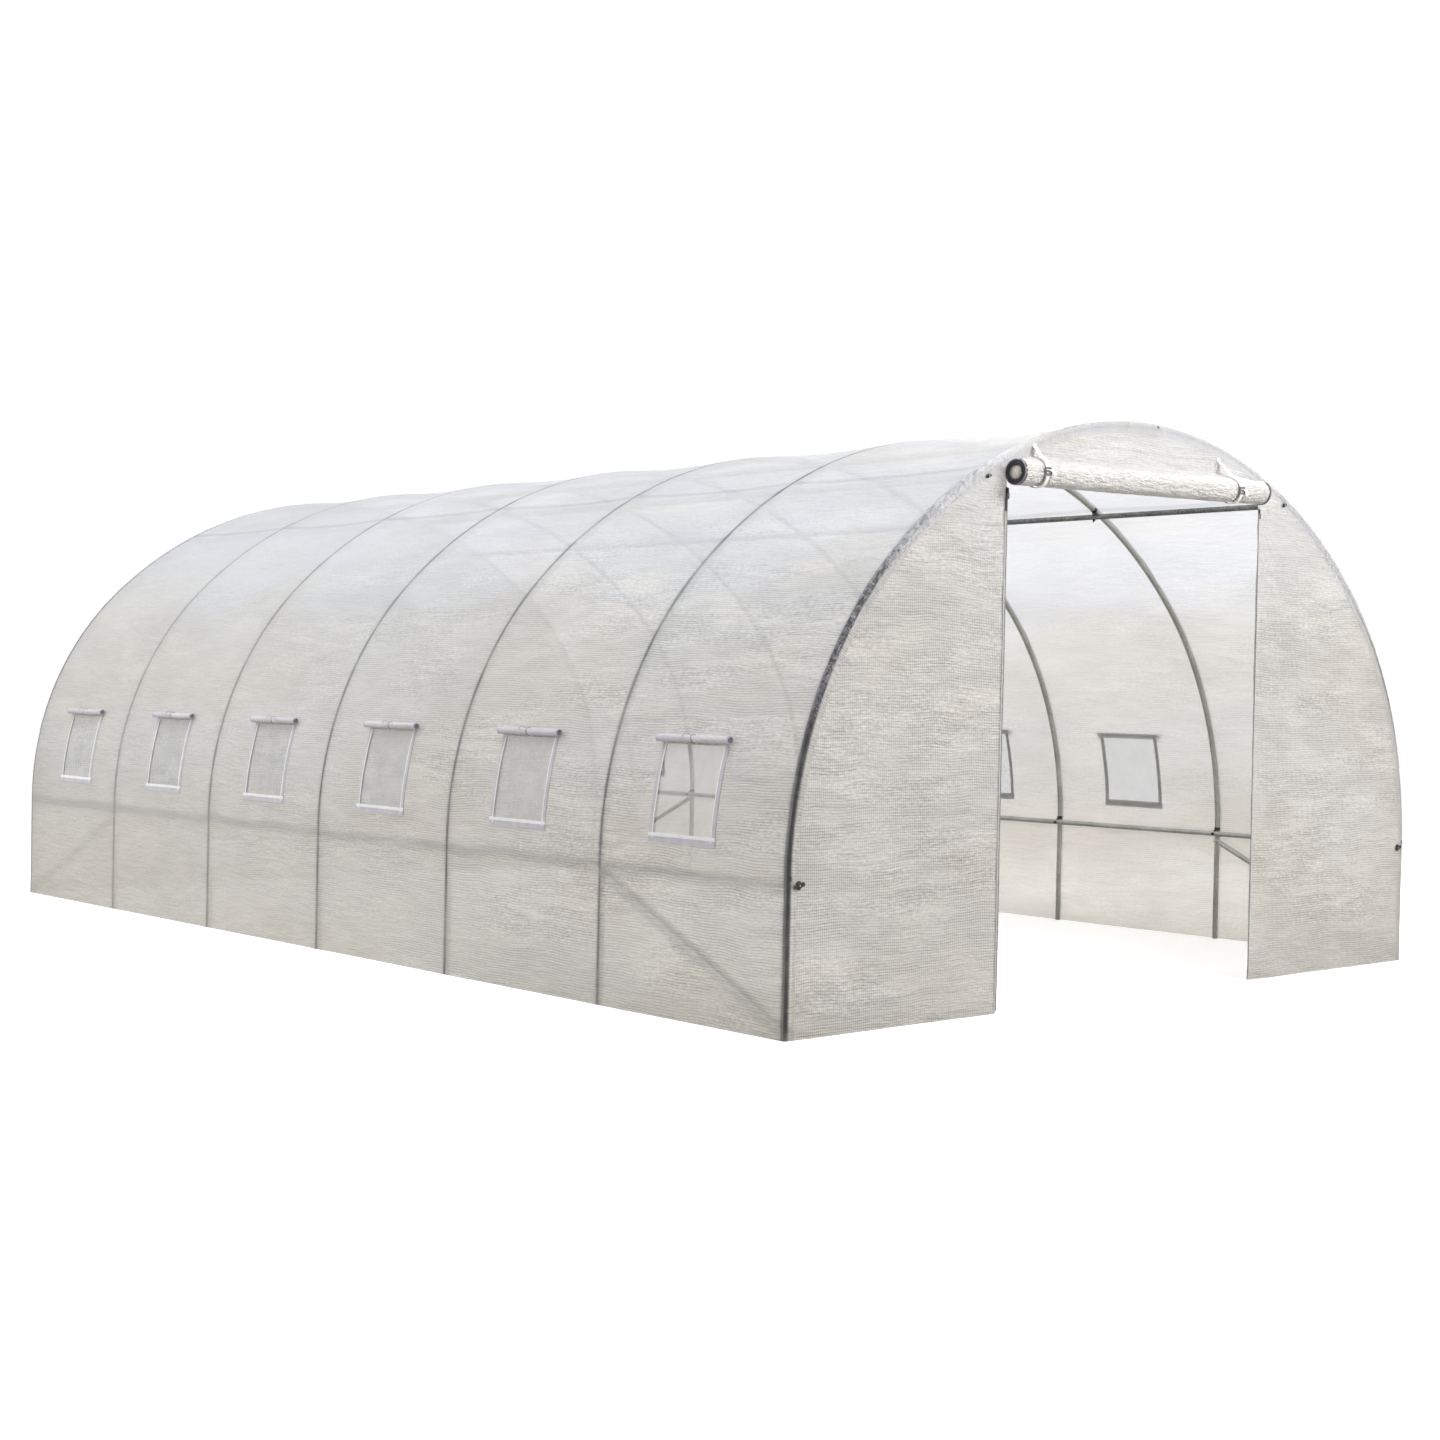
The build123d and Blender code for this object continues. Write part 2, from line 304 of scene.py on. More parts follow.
# ------------------------------------------------------------------ materials
class Net:
    def __init__(self, name):
        self.mat = bpy.data.materials.new(name)
        self.mat.use_nodes = True
        self.nt = self.mat.node_tree
        self.nt.nodes.clear()
        self.out = self.nt.nodes.new("ShaderNodeOutputMaterial")

    def node(self, kind, settings=None, inputs=None):
        n = self.nt.nodes.new(kind)
        for key, v in (settings or {}).items():
            setattr(n, key, v)
        for key, v in (inputs or {}).items():
            self.feed(n.inputs[key], v)
        return n

    def feed(self, socket, v):
        if isinstance(v, bpy.types.NodeSocket):
            self.nt.links.new(v, socket)
        elif isinstance(v, bpy.types.Node):
            self.nt.links.new(v.outputs[0], socket)
        elif isinstance(v, (tuple, list)) and len(v) == 3 and len(socket.default_value) == 4:
            socket.default_value = (*v, 1)
        else:
            socket.default_value = v

    def math(self, op, a, b=0.0, c=0.0, clamp=False):
        n = self.node("ShaderNodeMath", {"operation": op, "use_clamp": clamp})
        for k, v in enumerate((a, b, c)):
            self.feed(n.inputs[k], v)
        return n.outputs[0]

    def ramp(self, v, lo, hi, to_lo=0.0, to_hi=1.0):
        n = self.node("ShaderNodeMapRange", {"interpolation_type": "SMOOTHSTEP"})
        for k, x in zip(("Value", "From Min", "From Max", "To Min", "To Max"), (v, lo, hi, to_lo, to_hi)):
            self.feed(n.inputs[k], x)
        return n.outputs[0]

    def mix(self, f, a, b):
        n = self.node("ShaderNodeMix", {"data_type": "RGBA", "blend_type": "MIX"})
        self.feed(n.inputs[0], f)
        self.feed(n.inputs[6], a if isinstance(a, bpy.types.NodeSocket) else (*a, 1))
        self.feed(n.inputs[7], b if isinstance(b, bpy.types.NodeSocket) else (*b, 1))
        return n.outputs[2]

    def scaled(self, vec, scale):
        n = self.node("ShaderNodeMapping")
        self.feed(n.inputs["Vector"], vec)
        n.inputs["Scale"].default_value = scale
        return n.outputs[0]

    def noise(self, vec, scale, detail=3.0, rough=0.55, distortion=0.0, flat=False):
        n = self.node("ShaderNodeTexNoise", {"noise_dimensions": "2D" if flat else "3D"}, {"Vector": vec, "Scale": scale, "Detail": detail, "Roughness": rough, "Distortion": distortion})
        return n.outputs[0]

    def film_noise(self, uv, size, detail=3.0, rough=0.55, distortion=0.0):
        """Noise on a sheet, size given as features a metre across and along it."""
        return self.noise(self.scaled(uv, (*size, 1)), 1.0, detail, rough, distortion, flat=True)

    def bump(self, height, distance, strength=1.0, normal=None):
        n = self.node("ShaderNodeBump", None, {"Height": height, "Distance": distance, "Strength": strength})
        if normal is not None:
            self.feed(n.inputs["Normal"], normal)
        return n.outputs[0]

    def done(self, shader):
        self.nt.links.new(shader if isinstance(shader, bpy.types.NodeSocket) else shader.outputs[0], self.out.inputs[0])
        return self.mat


def film_material(name, cell=0.13, thread=0.03, through=0.45, gloss=0.36, crinkle=1.0, low_mottle=0.0, pitch=0.0102, bands=None, grid=0.42, contrast=1.0, weft=(27.0, 6.5), calm=0.35, warmth=0.7, warp_seen=1.0, tone=0.845, hoops=None):
    """Woven-tape film: threads in a fine grid, clearer cells, creases, slight haze.

    bands: colours at given heights; hoops: where along the sheet the first hoop
    behind it lies, the others following 1 m apart; painted shade lines are drawn over them, and over the purlins and
    braces behind the film.
    """
    n = Net(name)
    uv = n.node("ShaderNodeUVMap", {"uv_map": "film"}).outputs[0]
    sep = n.node("ShaderNodeSeparateXYZ", None, {0: uv})
    height = n.node("ShaderNodeSeparateXYZ", None, {0: n.node("ShaderNodeTexCoord").outputs["Object"]}).outputs[2]

    def threads(c, width):
        f = n.math("FRACT", n.math("DIVIDE", c, pitch))
        d = n.math("ABSOLUTE", n.math("SUBTRACT", f, 0.5))
        return n.ramp(d, 0.5 - width, 0.5 - width * 0.4)

    blotch = n.film_noise(uv, (2.6, 1.1), 2.0, 0.6)
    # the threads wander a little, and stand out here and there
    drawn = n.math("MULTIPLY", n.math("SUBTRACT", n.film_noise(uv, (2.4, 3.6), 1.0, 0.55), 0.5), 0.028)
    drag = n.node("ShaderNodeCombineXYZ", None, {0: n.math("ADD", sep.outputs[0], drawn), 1: n.math("ADD", sep.outputs[1], n.math("MULTIPLY", drawn, 0.6))}).outputs[0]
    streak = n.film_noise(drag, weft, 3.0, 0.68)
    fine = n.film_noise(drag, (125.0, 46.0), 2.0, 0.72)
    rows = n.film_noise(drag, (88.0, 7.5), 2.0, 0.62)
    patch = n.ramp(n.film_noise(uv, (5.0, 1.3), 1.0, 0.6), 0.40, 0.62)
    pulled = n.node("ShaderNodeSeparateXYZ", None, {0: drag})
    weft_rows = threads(pulled.outputs[0], 0.17)
    warp_rows = threads(pulled.outputs[1], 0.15)
    weave = n.math("MAXIMUM", weft_rows, n.math("MULTIPLY", warp_rows, warp_seen))
    shown = n.ramp(n.film_noise(uv, (9.0, 3.4), 1.0, 0.6), 0.36, 0.60, 0.66, 1.12)
    lively = n.math("MULTIPLY", n.ramp(height, 1.65, 1.95, 1.0, calm), n.math("ADD", 0.45, n.math("MULTIPLY", patch, 0.9)))
    place = n.node("ShaderNodeSeparateXYZ", None, {0: n.node("ShaderNodeTexCoord").outputs["Object"]})
    if hoops is not None:                # smoother on the right and towards the back
        calmer = n.math("MULTIPLY", n.ramp(place.outputs[0], -0.2, 1.0, 1.0, 0.42), n.ramp(place.outputs[1], YF + 0.6, YF + 4.6, 1.0, 0.42))
        lively = n.math("MULTIPLY", lively, calmer)
        shown = n.math("MULTIPLY", shown, n.math("ADD", 0.25, n.math("MULTIPLY", calmer, 0.75)))
    # how much passes straight through
    t = n.math("ADD", cell, n.math("MULTIPLY", n.math("SUBTRACT", blotch, 0.5), cell * 0.9))
    t = n.math("ADD", t, n.math("MULTIPLY", n.math("SUBTRACT", streak, 0.5), cell * 0.8))
    t = n.math("MULTIPLY", t, n.math("SUBTRACT", 1.0, n.math("MULTIPLY", weave, 1 - thread / cell)))
    clear = n.node("ShaderNodeAttribute", {"attribute_name": "clear"}).outputs["Fac"]
    t = n.math("ADD", t, n.math("MULTIPLY", clear, n.math("SUBTRACT", 1.0, n.math("MULTIPLY", weave, 0.45))), clamp=True)
    t = n.math("MINIMUM", t, 0.97)
    v = n.math("ADD", n.math("MULTIPLY", n.math("SUBTRACT", streak, 0.5), 0.13 * contrast), n.math("MULTIPLY", n.math("SUBTRACT", fine, 0.5), 0.50 * contrast))
    v = n.math("MULTIPLY", n.math("ADD", v, n.math("MULTIPLY", n.math("SUBTRACT", rows, 0.5), 0.30 * contrast)), lively)
    v = n.math("ADD", v, n.math("MULTIPLY", n.math("SUBTRACT", blotch, 0.5), 0.17))
    v = n.math("ADD", v, tone)
    # painted light: the cover is lighter towards its right side, and the end films towards their lower right, where the
    # key light falls
    if hoops is not None:
        v = n.math("ADD", v, n.ramp(place.outputs[0], -0.2, 1.0, 0.0, 0.035))
    else:
        v = n.math("ADD", v, n.math("MULTIPLY", n.ramp(place.outputs[0], 0.6, 1.6, 0.0, 0.060), n.ramp(height, 0.3, 1.3, 1.0, 0.0)))
    v = n.math("MULTIPLY", v, n.math("SUBTRACT", 1.0, n.math("MULTIPLY", n.math("MULTIPLY", weave, shown), n.ramp(height, 1.45, 1.95, grid, grid * calm))), clamp=True)
    rr = n.node("ShaderNodeValToRGB", None, {0: n.math("DIVIDE", height, TOP)})
    bands = bands or FILM_BANDS
    while len(rr.color_ramp.elements) < len(bands):
        rr.color_ramp.elements.new(0.5)
    for e, (z, c) in zip(rr.color_ramp.elements, bands):
        e.position = z / TOP
        e.color = (*c, 1)
    grey = n.node("ShaderNodeCombineColor", None, {0: v, 1: v, 2: v}).outputs[0]
    m = n.node("ShaderNodeMix", {"data_type": "RGBA", "blend_type": "MULTIPLY"})
    m.inputs[0].default_value = 1.0
    n.feed(m.inputs[6], rr.outputs[0])
    n.feed(m.inputs[7], grey)
    base = m.outputs[2]
    drift = n.film_noise(uv, (1.9, 0.8), 1.0, 0.5)
    warm = n.node("ShaderNodeMix", {"data_type": "RGBA", "blend_type": "MULTIPLY"})
    n.feed(warm.inputs[0], n.ramp(drift, 0.42, 0.64, 0.0, warmth))
    n.feed(warm.inputs[6], base)
    warm.inputs[7].default_value = (1.0, 0.972, 0.918, 1)
    base = warm.outputs[2]
    # painted highlight: warmer, lighter flecks where the film is creased and along its streaks
    veil = n.film_noise(drag, (13.0, 1.9), 1.0, 0.62)
    base = n.mix(n.math("MULTIPLY", n.ramp(veil, 0.44, 0.74), n.math("MULTIPLY", lively, 0.34 * warmth)), base, (0.955, 0.925, 0.845))
    base = n.mix(n.math("MULTIPLY", n.ramp(streak, 0.56, 0.74), n.math("MULTIPLY", lively, 0.16 * warmth)), base, (0.91, 0.885, 0.82))
    if hoops is not None:
        # painted shade: a dark blue-grey line with a soft halo over each hoop behind the film, fainter towards the back
        d = n.math("ADD", n.math("SUBTRACT", sep.outputs[1], hoops), 0.5)
        d = n.math("ABSOLUTE", n.math("SUBTRACT", n.math("FRACT", d), 0.5))
        wave = n.math("MULTIPLY", n.math("SUBTRACT", n.film_noise(uv, (7.0, 0.01), 1.0, 0.6), 0.5), 0.010)
        d = n.math("ADD", d, wave)
        hoop_shade_halo = n.ramp(d, 0.0090, 0.0200, 0.26, 0.0)
        base = n.mix(hoop_shade_halo, base, (0.34, 0.355, 0.375))
        line = n.ramp(d, 0.0040, 0.0095, 1.0, 0.0)
        depth = n.math("ADD", 0.60, n.math("MULTIPLY", n.math("SUBTRACT", n.film_noise(uv, (3.1, 1.0), 1.0, 0.5), 0.5), 1.1), clamp=True)
        depth = n.math("MULTIPLY", depth, n.ramp(place.outputs[1], YF + 2.4, YF + 5.2, 1.0, 0.50))
        base = n.mix(n.math("MULTIPLY", line, depth), base, (0.125, 0.13, 0.145))
        # painted shade of the purlins behind it, softer because they stand off
        sway = n.math("MULTIPLY", n.math("SUBTRACT", n.film_noise(uv, (0.01, 2.2), 1.0, 0.55), 0.5), 0.050)
        for at, core, soft, deep in PURLIN_SHADE_LINES:
            d = n.math("ABSOLUTE", n.math("SUBTRACT", n.math("ADD", sep.outputs[0], sway if at < 1 or at > S5 - 1 else 0.0), at))
            base = n.mix(n.ramp(d, core, core + soft, deep, 0.0), base, (0.36, 0.375, 0.39))
        # painted shade of the corner braces behind it, from each end hoop's foot up to the next hoop, deeper on the
        # left
        run, rise = 0.988, 0.468
        size = math.hypot(run, rise)
        far = n.node("ShaderNodeSeparateXYZ", None, {0: n.node("ShaderNodeTexCoord").outputs["Object"]}).outputs[1]
        far = n.math("SUBTRACT", far, YF + 0.006)
        d = n.math("ABSOLUTE", n.math("SUBTRACT", n.math("MULTIPLY", n.math("SUBTRACT", height, 0.030), run / size), n.math("MULTIPLY", far, rise / size)))
        inside = n.ramp(far, 0.96, 0.99, 1.0, 0.0)
        base = n.mix(n.math("MULTIPLY", n.ramp(d, 0.012, 0.034, n.ramp(n.node("ShaderNodeSeparateXYZ", None, {0: n.node("ShaderNodeTexCoord").outputs["Object"]}).outputs[0], -0.5, 0.5, 0.30, 0.16), 0.0), inside), base, (0.36, 0.375, 0.39))
    # painted shade: where the 'dark' attribute is set the film turns near-black and glows less, standing for the front
    # hoop seen dark through it
    dark = n.node("ShaderNodeAttribute", {"attribute_name": "dark"}).outputs["Fac"]
    base = n.mix(dark, base, (0.035, 0.036, 0.042))
    # darker, browner mottling towards the bottom of the film
    if low_mottle:
        low = n.ramp(height, 0.0, 0.62, 1.0, 0.0)
        low_mottle_mask = n.math("MULTIPLY", low, n.math("MULTIPLY", n.ramp(n.film_noise(uv, (5.0, 2.2), 2.0, 0.65), 0.35, 0.7), low_mottle), clamp=True)
        base = n.mix(low_mottle_mask, base, (0.62, 0.60, 0.50))
    nrm = n.bump(streak, 0.012 * crinkle, 0.8)
    rough = n.math("ADD", gloss, n.math("MULTIPLY", blotch, 0.20))
    body = n.node("ShaderNodeBsdfPrincipled", None, {"Base Color": base, "Roughness": rough, "Normal": nrm})
    body.inputs["Specular IOR Level"].default_value = 0.45
    glow = n.node("ShaderNodeBsdfTranslucent", None, {"Color": base, "Normal": nrm})
    mixed = n.node("ShaderNodeMixShader", None, {0: n.math("MULTIPLY", n.math("SUBTRACT", 1.0, n.math("MULTIPLY", dark, 0.8)), through), 1: body.outputs[0], 2: glow.outputs[0]})
    clearer = n.node("ShaderNodeBsdfTransparent", None, {"Color": (1, 1, 1, 1)})
    return n.done(n.node("ShaderNodeMixShader", None, {0: t, 1: mixed.outputs[0], 2: clearer.outputs[0]}))


def edge_material(name):
    """Film gathered over a tube: crumpled, silvery where it stands off, with painted shade in its folds and painted
    near-black where the 'dark' attribute marks the tube showing through.
    """
    n = Net(name)
    uv = n.node("ShaderNodeUVMap", {"uv_map": "film"}).outputs[0]
    dark = n.node("ShaderNodeAttribute", {"attribute_name": "dark"}).outputs["Fac"]
    clear = n.node("ShaderNodeAttribute", {"attribute_name": "clear"}).outputs["Fac"]
    a = n.film_noise(uv, (95.0, 60.0), 5.0, 0.7, 1.2)
    b = n.film_noise(uv, (22.0, 30.0), 3.0, 0.6, 0.6)
    folds = n.math("ADD", n.math("MULTIPLY", a, 0.65), n.math("MULTIPLY", b, 0.35))
    crown = n.ramp(n.node("ShaderNodeSeparateXYZ", None, {0: n.node("ShaderNodeTexCoord").outputs["Object"]}).outputs[2], 1.98, 2.16)
    # painted shade: darker in the folds
    light = n.mix(n.ramp(folds, 0.34, 0.62), (0.46, 0.46, 0.49), (0.78, 0.78, 0.80))
    light = n.mix(crown, light, n.mix(n.ramp(folds, 0.30, 0.60), (0.82, 0.82, 0.81), (0.95, 0.945, 0.935)))
    # painted shade: near-black where the tube shows through, deepest in the folds
    deep = n.mix(n.ramp(folds, 0.46, 0.68), (0.030, 0.029, 0.036), (0.42, 0.41, 0.45))
    base = n.mix(dark, light, deep)
    # painted shade: dark specks at the bottoms of the folds
    fleck = n.ramp(a, 0.30, 0.38, 1.0, 0.0)
    base = n.mix(n.math("MULTIPLY", fleck, n.math("SUBTRACT", 0.60, n.math("MULTIPLY", crown, 0.25))), base, (0.16, 0.15, 0.18))
    nrm = n.bump(folds, 0.006, 1.0)
    body = n.node("ShaderNodeBsdfPrincipled", None, {"Base Color": base, "Roughness": n.math("ADD", 0.18, n.math("MULTIPLY", b, 0.2)), "Normal": nrm})
    body.inputs["Specular IOR Level"].default_value = 0.7
    glow = n.node("ShaderNodeBsdfTranslucent", None, {"Color": base, "Normal": nrm})
    mixed = n.node("ShaderNodeMixShader", None, {0: 0.22, 1: body.outputs[0], 2: glow.outputs[0]})
    clearer = n.node("ShaderNodeBsdfTransparent", None, {"Color": (1, 1, 1, 1)})
    t = n.math("ADD", clear, n.math("MULTIPLY", n.ramp(b, 0.5, 0.7), 0.20), clamp=True)
    return n.done(n.node("ShaderNodeMixShader", None, {0: t, 1: mixed.outputs[0], 2: clearer.outputs[0]}))


def steel_material(name, dark, light, rough=0.42, metallic=0.85, grain=1.0):
    """Hot-dip zinc: faint spangle and dull patches."""
    n = Net(name)
    co = n.node("ShaderNodeTexCoord").outputs["Object"]
    spangle = n.node("ShaderNodeTexVoronoi", {"feature": "F1"}, {"Vector": co, "Scale": 140.0, "Randomness": 1.0}).outputs["Color"]
    sp = n.node("ShaderNodeSeparateColor", None, {0: spangle}).outputs[0]
    patch = n.noise(co, 9.0, 5.0, 0.62)
    fine = n.noise(co, 420.0, 2.0, 0.5)
    f = n.math("ADD", n.math("MULTIPLY", sp, 0.35 * grain), n.math("MULTIPLY", patch, 0.75), clamp=True)
    base = n.mix(n.ramp(f, 0.25, 0.80), dark, light)
    r = n.math("ADD", rough - 0.12, n.math("MULTIPLY", patch, 0.30))
    nrm = n.bump(n.math("ADD", sp, n.math("MULTIPLY", fine, 0.5)), 0.00035, 0.5)
    p = n.node("ShaderNodeBsdfPrincipled", None, {"Base Color": base, "Roughness": r, "Normal": nrm})
    p.inputs["Metallic"].default_value = metallic
    return n.done(p)


def plastic_material(name, colour, colour2, rough=0.4, scale=60.0, bump=0.0004):
    n = Net(name)
    co = n.node("ShaderNodeTexCoord").outputs["Object"]
    a = n.noise(co, scale, 4.0, 0.6)
    b = n.noise(co, scale * 9, 2.0, 0.5)
    base = n.mix(n.ramp(a, 0.3, 0.7), colour, colour2)
    p = n.node("ShaderNodeBsdfPrincipled", None, {"Base Color": base, "Roughness": n.math("ADD", rough - 0.08, n.math("MULTIPLY", a, 0.16)), "Normal": n.bump(n.math("ADD", a, n.math("MULTIPLY", b, 0.4)), bump, 0.6)})
    return n.done(p)


def webbing_material(name, colour, colour2, pitch=0.0022):
    """Woven tape: a small twill from object coordinates, with soft wear."""
    n = Net(name)
    co = n.node("ShaderNodeTexCoord").outputs["Object"]
    sep = n.node("ShaderNodeSeparateXYZ", None, {0: co})
    u = n.math("ADD", sep.outputs[0], sep.outputs[1])
    w1 = n.math("SINE", n.math("MULTIPLY", n.math("ADD", u, sep.outputs[2]), 2 * math.pi / pitch))
    w2 = n.math("SINE", n.math("MULTIPLY", n.math("SUBTRACT", u, sep.outputs[2]), 2 * math.pi / pitch))
    w = n.math("MULTIPLY", w1, w2)
    soil = n.noise(co, 22.0, 4.0, 0.6)
    base = n.mix(n.ramp(soil, 0.3, 0.72), colour, colour2)
    base = n.mix(n.ramp(w, -1.0, 1.0, 0.0, 0.22), base, [c * 0.72 for c in colour])
    p = n.node("ShaderNodeBsdfPrincipled", None, {"Base Color": base, "Roughness": n.math("ADD", 0.62, n.math("MULTIPLY", soil, 0.2)), "Normal": n.bump(w, 0.0003, 0.7)})
    p.inputs["Sheen Weight"].default_value = 0.15
    return n.done(p)


def net_material(name):
    """Fine knitted insect net: thin pale threads over clear holes."""
    n = Net(name)
    uv = n.node("ShaderNodeUVMap", {"uv_map": "film"}).outputs[0]
    sep = n.node("ShaderNodeSeparateXYZ", None, {0: uv})

    def threads(c, pitch, width):
        f = n.math("FRACT", n.math("DIVIDE", c, pitch))
        return n.ramp(n.math("ABSOLUTE", n.math("SUBTRACT", f, 0.5)), 0.5 - width, 0.5 - width * 0.5)

    w = n.math("MAXIMUM", threads(sep.outputs[0], 0.0020, 0.17), threads(sep.outputs[1], 0.0020, 0.17))
    v = n.film_noise(uv, (14.0, 14.0), 3.0, 0.6)
    base = n.mix(n.ramp(v, 0.3, 0.7), (0.46, 0.47, 0.47), (0.575, 0.575, 0.575))
    body = n.node("ShaderNodeBsdfPrincipled", None, {"Base Color": base, "Roughness": n.math("ADD", 0.55, n.math("MULTIPLY", v, 0.2)), "Normal": n.bump(w, 0.0003, 0.8)})
    clear = n.node("ShaderNodeBsdfTransparent", None, {"Color": (1, 1, 1, 1)})
    return n.done(n.node("ShaderNodeMixShader", None, {0: n.math("ADD", 0.10, n.math("MULTIPLY", w, 0.88)), 1: clear.outputs[0], 2: body.outputs[0]}))


# painted shade lines for the purlins behind the cover: place along the sheet, core half-width, soft edge, depth
PURLIN_SHADE_LINES = [(0.522, 0.008, 0.026, 0.24), (S5 - 0.522, 0.008, 0.026, 0.24)]
for purlin_node, near in (("upper_purlin_left", 1), ("upper_purlin_right", -1)):
    c = middle(purlin_node)
    at = S2 + R2 * (math.atan2(c.z - Z2, abs(c.x)) - A)
    PURLIN_SHADE_LINES.append((at if near > 0 else S5 - at, 0.009, 0.016, 0.26))
# cover colours by height: warmer low down, greyer at mid height, and lighter and bluer over the roof, which is painted
# light from above
FILM_BANDS = [(0.0, (0.915, 0.884, 0.832)), (0.48, (0.93, 0.902, 0.865)), (0.75, (0.885, 0.870, 0.852)), (1.45, (0.862, 0.857, 0.855)), (1.78, (0.905, 0.920, 0.972)), (2.3, (0.895, 0.906, 0.952))]
# end wall colours by height: brightest over the doorway's header, which is painted light
END_BANDS = [(0.0, (0.825, 0.80, 0.768)), (0.50, (0.855, 0.835, 0.81)), (1.0, (0.845, 0.828, 0.81)), (1.6, (0.815, 0.803, 0.785)), (2.03, (0.88, 0.877, 0.87)), (2.06, (0.89, 0.892, 0.895))]
ROLL_BANDS = [(0.0, (0.985, 0.965, 0.955)), (2.3, (0.99, 0.97, 0.96))]
FLAP_BANDS = [(0.0, (0.70, 0.69, 0.745)), (2.3, (0.70, 0.69, 0.745))]
END = film_material("end_film", cell=0.075, thread=0.02, through=0.42, crinkle=1.3, low_mottle=0.22, bands=END_BANDS, contrast=1.10, calm=0.55, warmth=0.45)
ROLLED = film_material("rolled_film", cell=0.03, thread=0.01, through=0.22, gloss=0.18, crinkle=3.2, bands=ROLL_BANDS, grid=0.08, contrast=0.8, weft=(70.0, 20.0), calm=1.2, warmth=0.1, tone=0.99)
EDGE = edge_material("edge_film")
STEEL = steel_material("galvanised", (0.40, 0.405, 0.385), (0.66, 0.655, 0.625), rough=0.33, metallic=0.85, grain=0.4)
# darker copies of the galvanised steel, as painted shade for the right upper purlin and hoop 1
STEEL_SHADED = steel_material("galvanised_shaded_copy", (0.10, 0.115, 0.125), (0.36, 0.345, 0.315), rough=0.40, metallic=0.75, grain=0.7)
STEEL_FRONT_SHADED = steel_material("galvanised_front_shaded", (0.20, 0.20, 0.20), (0.40, 0.40, 0.39), rough=0.45, metallic=0.7)
BLACK = plastic_material("black_nylon", (0.012, 0.012, 0.014), (0.035, 0.034, 0.036), 0.42, 90.0)
ZIP = webbing_material("zip_tape_black", (0.020, 0.020, 0.024), (0.045, 0.045, 0.052))
ZIPGREY = webbing_material("zip_tape_grey", (0.50, 0.50, 0.50), (0.66, 0.655, 0.65))
WEB = webbing_material("white_webbing", (0.86, 0.86, 0.84), (0.93, 0.93, 0.92))
HEM = webbing_material("hem_lavender", (0.50, 0.49, 0.55), (0.60, 0.59, 0.64))
HEMW = webbing_material("hem_white", (0.80, 0.80, 0.80), (0.90, 0.90, 0.89))
FLAP = film_material("flap_film", cell=0.03, thread=0.01, through=0.20, gloss=0.30, crinkle=0.5, bands=FLAP_BANDS, grid=0.10, tone=0.95)
DARK = plastic_material("dark_edge", (0.17, 0.16, 0.19), (0.28, 0.27, 0.31), 0.5, 120.0)
GREY = plastic_material("grey_buckle", (0.10, 0.095, 0.10), (0.20, 0.19, 0.19), 0.38, 80.0)
CORE = plastic_material("rolled_core", (0.66, 0.62, 0.56), (0.80, 0.77, 0.71), 0.6, 70.0, 0.001)
COIL = plastic_material("zip_coil", (0.15, 0.15, 0.155), (0.30, 0.30, 0.30), 0.4, 120.0)
NET = net_material("insect_net")

# ------------------------------------------------------------------ frame
for node_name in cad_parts:
    ob = bpy.data.objects.get(node_name)
    if ob is None or ob.type != "MESH":
        continue
    if node_name.startswith("hoop_") or "purlin" in node_name or "brace" in node_name:
        ob.data.materials.clear()
        # painted shade: hoop 1 and the right upper purlin get the darker copies of the galvanised steel
        ob.data.materials.append(STEEL_FRONT_SHADED if node_name == "hoop_1" else (STEEL_SHADED if node_name == "upper_purlin_right" else STEEL))

# ------------------------------------------------------------------ cover
W_S0, W_S1 = s_at(WIN_Z0), s_at(WIN_Z1)
rows = spaced([0, W_S0, W_S1, S2, S5 / 2, S3, S5 - W_S1, S5 - W_S0, S5], 0.030)
lip = [(FACE, 0.046), (FACE, 0.036), (FACE, 0.026)]
turn = [(YF - WRAP * math.sin(a), IN_HOOP - WRAP * math.cos(a)) for a in np.linspace(math.pi / 2, 0, 8)]
breaks = [YF + 0.012]
for i, h in enumerate(HOOPS):
    if i:
        breaks += [h - 0.012, h] if i < 6 else [h - 0.012]
    if i < 6:
        breaks += ([h + 0.012] if i else []) + [WIN_Y[i] - WIN_W / 2, WIN_Y[i] + WIN_W / 2]
body_y = spaced(sorted(breaks), 0.034)
cols = lip + turn + [(y, SKIN) for y in body_y]
cols += [(YB + WRAP * math.sin(a), IN_HOOP - WRAP * math.cos(a)) for a in np.linspace(0, math.pi / 2, 8)]
cols += [(REAR, 0.026), (REAR, 0.036), (REAR, 0.046)]
cy = np.array([c[0] for c in cols])
ci = np.array([c[1] for c in cols])
along = np.concatenate([[0], np.cumsum(np.hypot(np.diff(cy), np.diff(ci)))])


